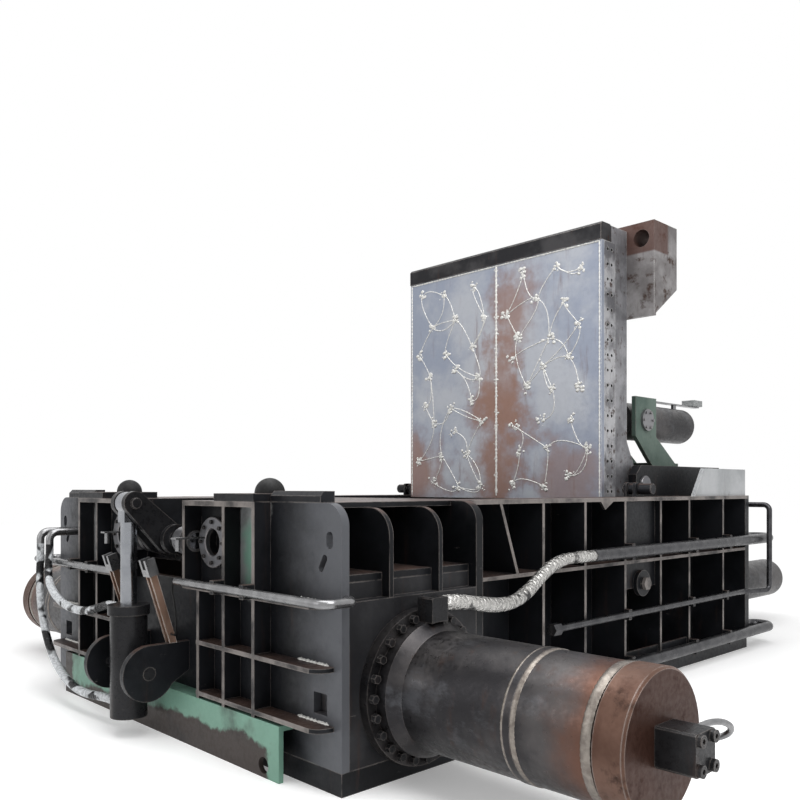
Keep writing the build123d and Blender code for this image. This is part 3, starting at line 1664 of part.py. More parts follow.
# Hoses: straight runs joined by tangent arcs, the bend radii found from the runs
bend_share = 0.45


def bend_radii(label, points):
    """Prints and gives the bend radius that fits at each inner point of a hose route."""
    radii = []
    for before, here, after in zip(points, points[1:], points[2:]):
        arrive = Vector(here) - Vector(before)
        leave = Vector(after) - Vector(here)
        turn = radians(arrive.get_angle(leave))
        radii.append(bend_share * min(arrive.length, leave.length) / tan(turn / 2))
    print(label, "bend radii", [round(radius) for radius in radii])
    return radii


def start_plane(points):
    """Sketch plane at the start of a hose route, facing along its first run."""
    return Plane(origin=points[0], z_dir=Vector(points[1]) - Vector(points[0]))


# Wrapped hose from the upper pipe to the port block of the near side cylinder
foil_hose = 85
foil_port_x = flange_face_x + flange_block_size[0] / 2
foil_port_y = arm_axis_y + flange_block_size[1] / 2
foil_port_z = 925
foil_route = (
    (big_pipe_x, upper_pipe_front_y, upper_pipe_z),
    (big_pipe_x, -390, upper_pipe_z),
    (1568, -560, 1052),
    (1588, -740, 1028),
    (1620, -910, 976),
    (1660, -1070, 916),
    (1704, -1230, 868),
    (1756, -1400, 846),
    (1806, -1590, 850),
    (1846, -1790, 878),
    (1868, -1970, 912),
    (foil_port_x, -2090, foil_port_z),
    (foil_port_x, foil_port_y, foil_port_z),
)
with BuildPart() as foil:
    with BuildLine():
        FilletPolyline(*foil_route, radius=bend_radii("foil_hose", foil_route))
    with BuildSketch(start_plane(foil_route)):
        Circle(foil_hose / 2)
    sweep()
save(foil.part, "foil_hose")

# Hoses from the elbows to the two ports of the door cylinder
port_face_x = -door_barrel_radius - port_reach
upper_route = (
    (elbow_x[0], elbow_y, elbow_end_z),
    (elbow_x[0], elbow_y, 1030),
    (-1380, -3018, 944),
    (-1322, -3038, 872),
    (-1232, -3056, 820),
    (-1124, -3064, 768),
    (-1000, -3070, 732),
    (-860, -3072, 710),
    (-715, -3070, 702),
    (-575, -3064, 712),
    (-450, -3052, 742),
    (-345, -3032, 774),
    (-250, lever_pin_y, upper_port_z),
    (port_face_x, lever_pin_y, upper_port_z),
)
with BuildPart() as upper_hose:
    with BuildLine():
        FilletPolyline(*upper_route, radius=bend_radii("upper_door_hose", upper_route))
    with BuildSketch(start_plane(upper_route)):
        Circle(hose / 2)
    sweep()
save(upper_hose.part, "upper_door_hose")

lower_route = (
    (elbow_x[1], elbow_y, elbow_end_z),
    (elbow_x[1], elbow_y, 1005),
    (-1558, -3014, 890),
    (-1516, -3028, 775),
    (-1456, -3042, 662),
    (-1384, -3052, 548),
    (-1296, -3060, 440),
    (-1190, -3066, 342),
    (-1066, -3070, 260),
    (-926, -3072, 200),
    (-776, -3070, 164),
    (-626, -3064, 148),
    (-476, -3046, 154),
    (-316, lever_pin_y, lower_port_z),
    (port_face_x, lever_pin_y, lower_port_z),
)
with BuildPart() as lower_hose:
    with BuildLine():
        FilletPolyline(*lower_route, radius=bend_radii("lower_door_hose", lower_route))
    with BuildSketch(start_plane(lower_route)):
        Circle(hose / 2)
    sweep()
save(lower_hose.part, "lower_door_hose")

# Thin cable from the near conduit into the side of the near post
cable = 12
post_side_y = -2908
cable_route = (
    (conduit_inner_x, conduit_y, conduit_z),
    (393, conduit_y, conduit_z),
    (376, -2946, 970),
    (371, -2948, 944),
    (381, -2952, 912),
    (402, -2956, 876),
    (424, -2960, 832),
    (438, -2962, 784),
    (438, -2960, 738),
    (422, -2952, 698),
    (394, -2938, 668),
    (358, -2922, 650),
    (320, post_side_y, 646),
    (post_x + post_size[0] / 2, post_side_y, 646),
)
with BuildPart() as sensor_cable:
    with BuildLine():
        FilletPolyline(*cable_route, radius=bend_radii("sensor_cable", cable_route))
    with BuildSketch(start_plane(cable_route)):
        Circle(cable / 2)
    sweep()
save(sensor_cable.part, "sensor_cable")
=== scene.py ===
"""Looks of the hydraulic scrap baler: worn shop paint, bare steel, weld beads, wrapped hoses."""

import math
import random

import bmesh
import bpy
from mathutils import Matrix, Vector


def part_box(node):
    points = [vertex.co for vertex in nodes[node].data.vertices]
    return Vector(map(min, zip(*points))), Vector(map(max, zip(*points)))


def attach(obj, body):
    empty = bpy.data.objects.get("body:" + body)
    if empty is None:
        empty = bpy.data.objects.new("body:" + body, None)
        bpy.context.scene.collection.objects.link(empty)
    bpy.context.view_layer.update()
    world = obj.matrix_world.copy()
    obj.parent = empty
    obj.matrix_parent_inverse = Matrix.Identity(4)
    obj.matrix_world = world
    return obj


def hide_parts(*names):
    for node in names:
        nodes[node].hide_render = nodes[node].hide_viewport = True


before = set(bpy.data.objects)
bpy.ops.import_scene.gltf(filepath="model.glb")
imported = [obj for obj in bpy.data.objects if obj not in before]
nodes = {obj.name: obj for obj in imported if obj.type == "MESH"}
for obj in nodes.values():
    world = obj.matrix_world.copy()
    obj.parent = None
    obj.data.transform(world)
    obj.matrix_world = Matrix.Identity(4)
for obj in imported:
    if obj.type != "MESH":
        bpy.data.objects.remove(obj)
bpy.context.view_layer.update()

# Camera and light
CAMERA_PLACE = (4.927, -5.42, 1.55)
CAMERA_TURN = 46.1
LENS = 37.2
LENS_SHIFT = 0.109
SENSOR_WIDTH = 36
FLOOR_SIZE = 60
FLOOR_COLOUR = (0.90, 0.90, 0.90)
FLOOR_FADE = (3.4, 6.5)
FLOOR_GLOW = 0.25
WORLD_LIGHT = 0.42

# Places taken from the CAD part's nodes, in metres
plate_low, plate_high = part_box("lid_wear_plates")
LID_FACE_Y = plate_low[1]
LID_HALF = plate_high[0]
LID_LOW = plate_low[2]
LID_BLADE_Z = plate_high[2]
cap_low, cap_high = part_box("side_cylinder_caps")
SIDE_AXIS = ((cap_low[1] + cap_high[1]) / 2, (cap_low[2] + cap_high[2]) / 2)
SIDE_TUBE_RADIUS = 0.315
RIB_FACE_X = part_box("channel_ribs")[1][0]
RIB_FACE_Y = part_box("front_ribs")[0][1]
FRONT_WALL_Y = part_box("front_wall")[0][1]

# Limits of painted and stained areas, in metres
# Depth behind the ribs' outer faces where their painted highlight starts
HIGHLIGHT_FACE_DEPTH = 0.003
# Depths below the side strips' face where their painted shade starts and is full
SOCKET_DEPTH = (0.002, 0.004)
BLOCK_LOW_Z = (3.55, 3.57)
BLOCK_BACK_Y = (1.24, 1.20)
HEAT_REACH = (2.98, 3.24)
HEAT_WANDER = 0.4
PATCH_WANDER = 0.28

# Wear: scales of the noises, how runs and scuffs are drawn out, rubbed edges with their painted edge
# highlight, depths of the relief
TONE_SCALE = 1.3
RUN_SCALE = 2.2
RUN_STRETCH = (5, 5, 0.7)
BLOOM_SCALE = 4.5
SCUFF_SCALE = 9
SCUFF_STRETCH = (1, 1, 3)
RUB_SCALE = 7
EDGE_WIDTH = 0.009
EDGE_BEND = (0.985, 0.90)
FINE_SCALE = 38
DENT_SCALE = 6
DENT_SHARE = 2.0
BUMP_DEPTH = 0.0015
FOLD_DEPTH = 0.014
MARK_DEPTH = 0.001
RUST_DULLING = 0.22
NOISE_RANGE = (0.3, 0.7)

# Places of the colour sockets on Blender's mix node
MIX_SHARE, MIX_FIRST, MIX_SECOND = 0, 6, 7
MIX_RESULT = 2

# Share of the mirror light, low because the whole surround is white
SPECULAR = 0.18

# Colours, linear
BLUE_BLACK = (0.0062, 0.0067, 0.0080)
SLATE = (0.0150, 0.0160, 0.0190)
RUST = (0.125, 0.055, 0.034)
DARK_RUST = (0.050, 0.028, 0.021)
BARE_BROWN = (0.050, 0.040, 0.036)
PINK_DUST = (0.110, 0.070, 0.057)
# Pale colour of scuffs and rubbed edges, also the painted highlight on edges and rib faces
PALE_WEAR_AND_HIGHLIGHT = (0.340, 0.305, 0.285)
MINT = (0.170, 0.315, 0.245)
PRIMER = (0.300, 0.310, 0.310)
PLATE_BLUE = (0.255, 0.282, 0.345)
PLATE_GREY = (0.370, 0.385, 0.420)
PLATE_BROWN = (0.245, 0.145, 0.112)
STRIP_DARK = (0.14, 0.14, 0.15)
STRIP_LIGHT = (0.42, 0.42, 0.435)
BRACKET_DARK = (0.15, 0.14, 0.14)
BRACKET_LIGHT = (0.30, 0.29, 0.29)
BLOCK_BROWN = (0.085, 0.040, 0.030)
CAP_SIDE = (0.072, 0.036, 0.025)
CAP_LIGHT = (0.135, 0.078, 0.058)
CAP_FACE = (0.040, 0.016, 0.011)
WELD_WHITE = (0.740, 0.740, 0.710)
WELD_TAN = (0.250, 0.225, 0.200)
# Steel grey of the tube's smears, also the painted sheen on the front wall's end panels
STEEL_GREY = (0.105, 0.109, 0.120)
TUBE_DARK = (0.026, 0.025, 0.027)
TUBE_LIGHT = (0.075, 0.070, 0.070)


class Shader:
    """A material's node tree, with short ways to add nodes and join them."""

    def __init__(self, name):
        self.material = bpy.data.materials.new(name)
        self.material.use_nodes = True
        self.tree = self.material.node_tree
        self.body = self.tree.nodes["Principled BSDF"]
        self.place = self.add("ShaderNodeTexCoord").outputs["Object"]
        self.normal = self.add("ShaderNodeNewGeometry").outputs["Normal"]

    def add(self, kind, sockets=None, **settings):
        """Adds a node, sets its settings and fills or joins its sockets."""
        node = self.tree.nodes.new(kind)
        for key, value in settings.items():
            setattr(node, key, value)
        for key, value in (sockets or {}).items():
            self.join(value, node.inputs[key])
        return node

    def join(self, value, socket):
        """Joins a node's output to a socket, or sets the socket's own value."""
        if isinstance(value, bpy.types.NodeSocket):
            self.tree.links.new(value, socket)
        elif isinstance(value, tuple) and socket.type == "RGBA":
            socket.default_value = (*value, 1)
        else:
            socket.default_value = value

    def noise(self, scale, detail=6, rough=0.6, stretch=None):
        """A noise between about 0.3 and 0.7, in metres, stretched where asked."""
        place = self.place
        if stretch:
            place = self.add("ShaderNodeMapping", {"Vector": place, "Scale": stretch}).outputs["Vector"]
        sockets = {"Vector": place, "Scale": scale, "Detail": detail, "Roughness": rough}
        return self.add("ShaderNodeTexNoise", sockets).outputs["Fac"]

    def steps(self, value, low, high, to_low=0, to_high=1):
        """A smooth step of a value from low to high."""
        sockets = {"Value": value, "From Min": low, "From Max": high, "To Min": to_low, "To Max": to_high}
        return self.add("ShaderNodeMapRange", sockets, interpolation_type="SMOOTHSTEP").outputs["Result"]

    def math(self, operation, first, second):
        """One sum of two values."""
        return self.add("ShaderNodeMath", {0: first, 1: second}, operation=operation).outputs[0]

    def mix(self, share, first, second):
        """A blend of two colours."""
        node = self.add("ShaderNodeMix", data_type="RGBA")
        self.join(share, node.inputs[MIX_SHARE])
        self.join(first, node.inputs[MIX_FIRST])
        self.join(second, node.inputs[MIX_SECOND])
        return node.outputs[MIX_RESULT]

    def axes(self, vector):
        """The X, Y and Z of a vector."""
        return self.add("ShaderNodeSeparateXYZ", {"Vector": vector}).outputs

    def edges(self, width):
        """How sharply the surface bends within a width: 0 on flats, 1 on corners."""
        round_normal = self.add("ShaderNodeBevel", {"Radius": width}, samples=4).outputs["Normal"]
        match = self.add("ShaderNodeVectorMath", {0: round_normal, 1: self.normal}, operation="DOT_PRODUCT")
        return self.steps(match.outputs["Value"], *EDGE_BEND)

    def bump(self, height, strength, depth):
        """Joins a height to the surface normal."""
        sockets = {"Height": height, "Strength": strength, "Distance": depth}
        self.join(self.add("ShaderNodeBump", sockets).outputs["Normal"], self.body.inputs["Normal"])

    def finish(self, colour, roughness, metallic):
        """Joins the colour and roughness, and gives the material."""
        self.join(colour, self.body.inputs["Base Color"])
        self.join(roughness, self.body.inputs["Roughness"])
        self.body.inputs["Metallic"].default_value = metallic
        self.body.inputs["Specular IOR Level"].default_value = SPECULAR
        return self.material


def worn(shader, base, tint, rust, rust_share, edge, edge_share, grain=1.0):
    """Colour of a worn surface: two base tones, runs and blooms of rust, and rubbed edges that are also a
    painted edge highlight.
    """
    colour = shader.mix(shader.steps(shader.noise(TONE_SCALE * grain, 5), 0.40, 0.62), base, tint)
    runs = shader.steps(shader.noise(RUN_SCALE * grain, 7, 0.65, RUN_STRETCH), 0.56, 0.78, 0, 0.55)
    colour = shader.mix(runs, colour, rust)
    bloom_low, bloom_high = 0.74 - 0.34 * rust_share, 0.86 - 0.30 * rust_share
    bloom = shader.steps(shader.noise(BLOOM_SCALE * grain, 9, 0.68), bloom_low, bloom_high)
    colour = shader.mix(bloom, colour, rust)
    scuffs = shader.steps(shader.noise(SCUFF_SCALE * grain, 8, 0.7, SCUFF_STRETCH), 0.66, 0.74, 0, 0.35)
    colour = shader.mix(scuffs, colour, edge)
    # Rubbed edges, partly wear and partly painted highlight: the pale colour in patches where the surface
    # bends
    spots = shader.steps(shader.noise(RUB_SCALE, 5), 0.32, 0.55, 0, edge_share)
    rubbed_and_lit_edges = shader.math("MULTIPLY", shader.edges(EDGE_WIDTH), spots)
    return shader.mix(rubbed_and_lit_edges, colour, edge), bloom


def worn_metal(name, base, tint, rust, rust_share, edge, edge_share, rough, metallic, grain=1.0):
    """A plain worn metal or paint."""
    shader = Shader(name)
    colour, bloom = worn(shader, base, tint, rust, rust_share, edge, edge_share, grain)
    return dress(shader, colour, bloom, rough, metallic)


def dress(shader, colour, bloom, rough, metallic):
    """Roughness and bump shared by the worn metals."""
    fine = shader.noise(FINE_SCALE, 6, 0.65)
    gloss = shader.steps(fine, *NOISE_RANGE, rough - 0.10, rough + 0.12)
    gloss = shader.math("ADD", gloss, shader.math("MULTIPLY", bloom, RUST_DULLING))
    dents = shader.math("MULTIPLY", shader.noise(DENT_SCALE, 4), DENT_SHARE)
    shader.bump(shader.math("ADD", fine, dents), 0.35, BUMP_DEPTH)
    return shader.finish(colour, gloss, metallic)


def frame_paint(name, highlight_axis=None, highlight_from=0.0, patches=()):
    """Blue-black paint with dusty tops, a painted highlight on the outer faces of one side, and patches of
    other paint and of painted sheen.

    A patch is its low corner, high corner, colour and the softness of its border.
    """
    shader = Shader(name)
    colour, bloom = worn(
        shader, BLUE_BLACK, SLATE, rust=DARK_RUST, rust_share=0.25, edge=PALE_WEAR_AND_HIGHLIGHT, edge_share=0.45,
    )
    up = shader.axes(shader.normal)["Z"]
    settled = shader.steps(shader.noise(3.1, 6), 0.30, 0.60, 0.10, 0.70)
    dust = shader.math("MULTIPLY", shader.steps(up, 0.7, 0.95), settled)
    colour = shader.mix(dust, colour, PINK_DUST)
    place = shader.axes(shader.place)
    # Painted highlight: the ribs' outer faces along one axis, from just behind them outwards, take the pale
    # colour in patches
    if highlight_axis:
        axis, sign = highlight_axis
        reach = shader.math("MULTIPLY", place[axis], sign)
        face_highlight = shader.math("GREATER_THAN", reach, highlight_from - HIGHLIGHT_FACE_DEPTH)
        face_highlight = shader.math("MULTIPLY", face_highlight, shader.steps(shader.noise(5, 7), 0.33, 0.62, 0.08, 0.60))
        colour = shader.mix(face_highlight, colour, PALE_WEAR_AND_HIGHLIGHT)
    wander = shader.math("MULTIPLY", shader.math("SUBTRACT", shader.noise(4, 8), 0.5), PATCH_WANDER)
    for low, high, tone, soft in patches:
        inside = 1.0
        for axis, start, end in zip("XYZ", low, high):
            along = shader.math("ADD", place[axis], wander)
            inside = shader.math("MULTIPLY", shader.steps(along, start - soft, start + soft), inside)
            inside = shader.math("MULTIPLY", shader.steps(along, end + soft, end - soft), inside)
        patch = shader.math("MULTIPLY", inside, shader.steps(shader.noise(2.3, 5), 0.30, 0.50, 0.3, 0.95))
        colour = shader.mix(patch, colour, tone)
    return dress(shader, colour, bloom, rough=0.40, metallic=0.25)


def strip_steel(name):
    """Streaked side strip of the lid, with painted shade in its sunk sockets."""
    shader = Shader(name)
    colour, bloom = worn(
        shader, STRIP_DARK, STRIP_LIGHT,
        rust=DARK_RUST, rust_share=0.62, edge=WELD_WHITE, edge_share=0.6, grain=3.0,
    )
    # Painted shade: what lies more than 2 mm below the strip's outer face, in its sockets, goes blue-black,
    # fully by 4 mm
    reach = shader.math("ABSOLUTE", shader.axes(shader.place)["X"], 0)
    lip, bottom = SOCKET_DEPTH
    socket_shade = shader.steps(reach, LID_HALF - lip, LID_HALF - bottom)
    colour = shader.mix(socket_shade, colour, BLUE_BLACK)
    return dress(shader, colour, bloom, rough=0.45, metallic=0.5)


def bracket_steel(name):
    """Stained grey bracket whose bored block is red-brown."""
    shader = Shader(name)
    colour, bloom = worn(
        shader, BRACKET_DARK, BRACKET_LIGHT,
        rust=DARK_RUST, rust_share=0.65, edge=WELD_WHITE, edge_share=0.6, grain=1.6,
    )
    place = shader.axes(shader.place)
    above = shader.steps(place["Z"], *BLOCK_LOW_Z)
    block = shader.math("MULTIPLY", above, shader.steps(place["Y"], *BLOCK_BACK_Y))
    colour = shader.mix(shader.math("MULTIPLY", block, 0.85), colour, BLOCK_BROWN)
    return dress(shader, colour, bloom, rough=0.5, metallic=0.4)


def tube_steel(name):
    """Dark mill-scale tube with silver smears, browned by heat towards its ends."""
    shader = Shader(name)
    colour, bloom = worn(
        shader, TUBE_DARK, TUBE_LIGHT,
        rust=DARK_RUST, rust_share=0.25, edge=PALE_WEAR_AND_HIGHLIGHT, edge_share=0.4, grain=1.2,
    )
    smears = shader.steps(shader.noise(5, 8, 0.7, (0.6, 1, 1)), 0.52, 0.68, 0, 0.40)
    colour = shader.mix(smears, colour, STEEL_GREY)
    reach = shader.math("ABSOLUTE", shader.axes(shader.place)["X"], 0)
    heat = shader.math("ADD", reach, shader.math("MULTIPLY", shader.noise(4, 6), HEAT_WANDER))
    colour = shader.mix(shader.steps(heat, *HEAT_REACH, 0, 0.75), colour, RUST)
    return dress(shader, colour, bloom, rough=0.36, metallic=0.80)


def cap_rust(name):
    """Copper-brown cap, darker and redder on its end face."""
    shader = Shader(name)
    colour, bloom = worn(
        shader, CAP_SIDE, CAP_LIGHT,
        rust=DARK_RUST, rust_share=0.60, edge=PALE_WEAR_AND_HIGHLIGHT, edge_share=0.8, grain=1.4,
    )
    facing = shader.math("ABSOLUTE", shader.axes(shader.normal)["X"], 0)
    colour = shader.mix(shader.steps(facing, 0.80, 0.95, 0, 0.82), colour, CAP_FACE)
    return dress(shader, colour, bloom, rough=0.44, metallic=0.55)


# Brown blooms on the lid's plates: X and Z of the centre, half width, half height and strength
PLATE_BLOOMS = (
    (0.02, 1.80, 0.50, 0.85, 0.90),
    (0.20, 3.10, 0.36, 0.55, 0.75),
    (-0.92, 1.66, 0.42, 0.50, 0.80),
    (0.06, 2.45, 0.30, 0.70, 0.70),
    (0.75, 1.60, 0.45, 0.35, 0.55),
)
BLOOM_DEPTH = 9


def lid_plate(name):
    """Blue-grey wear plate with brown blooms spreading from the middle seam."""
    shader = Shader(name)
    colour, bloom = worn(
        shader, PLATE_BLUE, PLATE_GREY, rust=RUST, rust_share=0.05, edge=WELD_WHITE, edge_share=0.5,
    )
    wander = shader.steps(shader.noise(2.6, 8, 0.66), 0.25, 0.75, -0.5, 0.5)
    for x, z, half_width, half_height, strength in PLATE_BLOOMS:
        centre, size = (x, LID_FACE_Y, z), (half_width, BLOOM_DEPTH, half_height)
        offset = shader.add("ShaderNodeVectorMath", {0: shader.place, 1: centre}, operation="SUBTRACT")
        scaled = shader.add("ShaderNodeVectorMath", {0: offset.outputs[0], 1: size}, operation="DIVIDE")
        away = shader.add("ShaderNodeVectorMath", {0: scaled.outputs[0]}, operation="LENGTH")
        edge = shader.math("ADD", away.outputs["Value"], wander)
        colour = shader.mix(shader.steps(edge, 1.1, 0.25, 0, strength), colour, PLATE_BROWN)
    return dress(shader, colour, bloom, rough=0.42, metallic=0.55)


def wrap(name, light, dark, scale, rough, metallic, dark_from):
    """Crumpled film or foil, with painted shade along its creases and dark stretches where the hose shows
    through.
    """
    shader = Shader(name)
    folds = shader.noise(scale, 5, 0.7)
    sockets = {"Vector": shader.place, "Scale": scale}
    creases = shader.add("ShaderNodeTexVoronoi", sockets, feature="DISTANCE_TO_EDGE")
    crease = creases.outputs["Distance"]
    # Painted shade: darker along the creases
    colour = shader.mix(shader.steps(crease, 0.0, 0.12, 0.30, 0), light, dark)
    colour = shader.mix(shader.steps(shader.noise(3.5, 3), dark_from, dark_from + 0.04), colour, dark)
    shader.bump(shader.math("ADD", crease, folds), 1.0, FOLD_DEPTH)
    return shader.finish(colour, shader.steps(folds, *NOISE_RANGE, rough - 0.12, rough + 0.15), metallic)


def plain(name, base, tint, rough, metallic, scale=25):
    """A cleaner surface with faint marks."""
    shader = Shader(name)
    marks = shader.noise(scale, 6, 0.6)
    colour = shader.mix(shader.steps(marks, 0.35, 0.65), base, tint)
    shader.bump(marks, 0.06, MARK_DEPTH)
    gloss = shader.steps(shader.noise(9, 5), *NOISE_RANGE, rough - 0.08, rough + 0.10)
    return shader.finish(colour, gloss, metallic)


paint = frame_paint("frame_paint")
# The ribs' outer faces carry a painted highlight
side_paint = frame_paint("side_rib_paint", ("X", 1), RIB_FACE_X)
front_paint = frame_paint("front_rib_paint", ("Y", -1), -RIB_FACE_Y)
wall_paint = frame_paint(
    "front_wall_paint",
    patches=[
        ((0.85, -2.95, 0.95), (1.13, -2.60, 1.46), PRIMER, 0.02),
        ((0.92, -2.95, 1.02), (1.06, -2.60, 1.36), MINT, 0.04),
        ((-1.13, -2.95, 0.95), (-0.85, -2.60, 1.46), PRIMER, 0.02),
        # Painted sheen: steel grey on both end panels of the wall
        ((1.50, -3.10, -0.30), (2.20, -2.40, 1.80), STEEL_GREY, 0.20),
        ((-2.20, -3.10, -0.30), (-1.50, -2.40, 1.80), STEEL_GREY, 0.20),
    ],
)
plinth_paint = frame_paint(
    "plinth_paint",
    patches=[
        ((-1.50, -3.10, -0.20), (1.50, -2.70, 0.40), BARE_BROWN, 0.02),
        ((-0.55, -3.10, 0.17), (1.50, -2.70, 0.40), MINT, 0.02),
        ((1.27, -3.10, -0.20), (1.50, -2.70, 0.40), MINT, 0.02),
        ((-1.25, -3.10, 0.10), (-0.65, -2.70, 0.40), MINT, 0.02),
    ],
)
lid_face = lid_plate("lid_wear_plate")
bracket = bracket_steel("bracket_rust")
strip = strip_steel("side_strip")
tube = tube_steel("cylinder_tube")
cap = cap_rust("cap_rust")
bare = worn_metal(
    "bare_steel", base=(0.16, 0.16, 0.17), tint=(0.24, 0.24, 0.25),
    rust=RUST, rust_share=0.2, edge=PALE_WEAR_AND_HIGHLIGHT, edge_share=0.6, rough=0.38, metallic=0.8,
)
blade = worn_metal(
    "blade_steel", base=(0.016, 0.016, 0.018), tint=(0.045, 0.044, 0.046),
    rust=DARK_RUST, rust_share=0.4, edge=PALE_WEAR_AND_HIGHLIGHT, edge_share=0.7, rough=0.42, metallic=0.5, grain=2.2,
)
lid_side = worn_metal(
    "lid_side", base=(0.15, 0.15, 0.16), tint=(0.30, 0.30, 0.315),
    rust=DARK_RUST, rust_share=0.62, edge=WELD_WHITE, edge_share=0.5, rough=0.45, metallic=0.5, grain=1.8,
)
end_paint = worn_metal(
    "end_wall_paint", base=(0.018, 0.018, 0.020), tint=(0.042, 0.042, 0.045),
    rust=DARK_RUST, rust_share=0.3, edge=PALE_WEAR_AND_HIGHLIGHT, edge_share=0.4, rough=0.42, metallic=0.3,
)
black = worn_metal(
    "satin_black", base=(0.010, 0.010, 0.011), tint=(0.022, 0.022, 0.024),
    rust=DARK_RUST, rust_share=0.08, edge=PALE_WEAR_AND_HIGHLIGHT, edge_share=0.35, rough=0.32, metallic=0.2,
)
green = worn_metal(
    "stand_green", base=(0.070, 0.108, 0.090), tint=(0.125, 0.170, 0.145),
    rust=DARK_RUST, rust_share=0.45, edge=PALE_WEAR_AND_HIGHLIGHT, edge_share=0.5, rough=0.5, metallic=0.1,
)
hood = worn_metal(
    "hood_grey", base=(0.33, 0.34, 0.35), tint=(0.44, 0.45, 0.46),
    rust=DARK_RUST, rust_share=0.2, edge=WELD_WHITE, edge_share=0.4, rough=0.5, metallic=0.2,
)
copper = worn_metal(
    "post_copper", base=(0.21, 0.120, 0.078), tint=(0.31, 0.20, 0.15),
    rust=DARK_RUST, rust_share=0.3, edge=WELD_WHITE, edge_share=0.8, rough=0.45, metallic=0.5,
)
chrome = plain("rod_chrome", (0.31, 0.32, 0.34), (0.26, 0.27, 0.29), rough=0.24, metallic=1.0, scale=12)
silver = plain("bright_steel", (0.27, 0.27, 0.275), (0.20, 0.20, 0.205), rough=0.28, metallic=0.9, scale=12)
pipe = plain("pipe_steel", (0.045, 0.045, 0.049), (0.075, 0.075, 0.079), rough=0.30, metallic=0.8, scale=12)
box_grey = plain("box_grey", (0.30, 0.31, 0.31), (0.25, 0.26, 0.26), rough=0.5, metallic=0.0)
rubber = plain("dome_rubber", (0.010, 0.010, 0.011), (0.018, 0.018, 0.018), rough=0.55, metallic=0.0)
cable = plain("cable_black", (0.008, 0.008, 0.008), (0.014, 0.014, 0.014), rough=0.5, metallic=0.0)
weld = plain("weld_bead", (0.56, 0.55, 0.53), WELD_WHITE, rough=0.45, metallic=0.30, scale=60)
ring_weld = plain("ring_weld", (0.150, 0.130, 0.115), WELD_TAN, rough=0.36, metallic=0.8, scale=30)
foil = wrap(
    "foil_wrap", light=(0.54, 0.53, 0.51), dark=(0.07, 0.07, 0.07),
    scale=24, rough=0.24, metallic=0.95, dark_from=0.60,
)
film = wrap(
    "hose_film", light=(0.60, 0.62, 0.64), dark=(0.010, 0.010, 0.011),
    scale=24, rough=0.26, metallic=0.10, dark_from=0.50,
)

NODE_MATERIALS = {
    paint: "base_plate arm_roofs arm_back_walls channel_walls front_beam rear_roof rear_cover tail_wall"
    " hinge_cheeks top_bars trunnion_ears lid_locks pipe_clamps",
    wall_paint: "front_wall",
    end_paint: "end_walls",
    side_paint: "channel_ribs tie_bosses",
    front_paint: "front_ribs",
    plinth_paint: "front_plinth",
    bare: "port_rings hinge_pins shaft_bearings trunnion_caps main_ram near_side_ram far_side_ram",
    blade: "fixed_blade lid_blade",
    lid_face: "lid_wear_plates",
    lid_side: "lid_body",
    strip: "lid_side_strips",
    bracket: "lid_brackets",
    tube: "near_side_cylinder far_side_cylinder main_cylinders lid_barrels",
    cap: "side_cylinder_caps",
    black: "frame_bolts port_blocks door_barrel door_levers bale_door",
    chrome: "lid_rods door_rod door_shaft",
    green: "cylinder_stands",
    hood: "hood_plates",
    copper: "stop_posts",
    silver: "fork_heads sensors conduits cable_bar",
    pipe: "pressure_pipes",
    box_grey: "junction_box",
    rubber: "buffer_domes",
}
for material, names in NODE_MATERIALS.items():
    for name in names.split():
        nodes[name].data.materials.clear()
        nodes[name].data.materials.append(material)


# Crumpled foil makes its hose thicker and thinner: share, and turn from point to point
FOIL_LUMP = 0.07
LUMP_TURN = 2.4


def route_curve(name, route, radius, lump=0.0):
    """A smooth round tube along a route of control points, thicker and thinner by a share."""
    curve = bpy.data.curves.new(name, "CURVE")
    curve.dimensions = "3D"
    curve.bevel_depth = radius
    curve.bevel_resolution = 6
    curve.resolution_u = 12
    curve.use_fill_caps = True
    spline = curve.splines.new("NURBS")
    spline.points.add(len(route) - 1)
    for index, (point, place) in enumerate(zip(spline.points, route)):
        point.co = (*place, 1)
        point.radius = 1 + lump * math.sin(index * LUMP_TURN)
    spline.order_u = 3
    spline.use_endpoint_u = True
    piece = bpy.data.objects.new(name, curve)
    bpy.context.collection.objects.link(piece)
    return piece


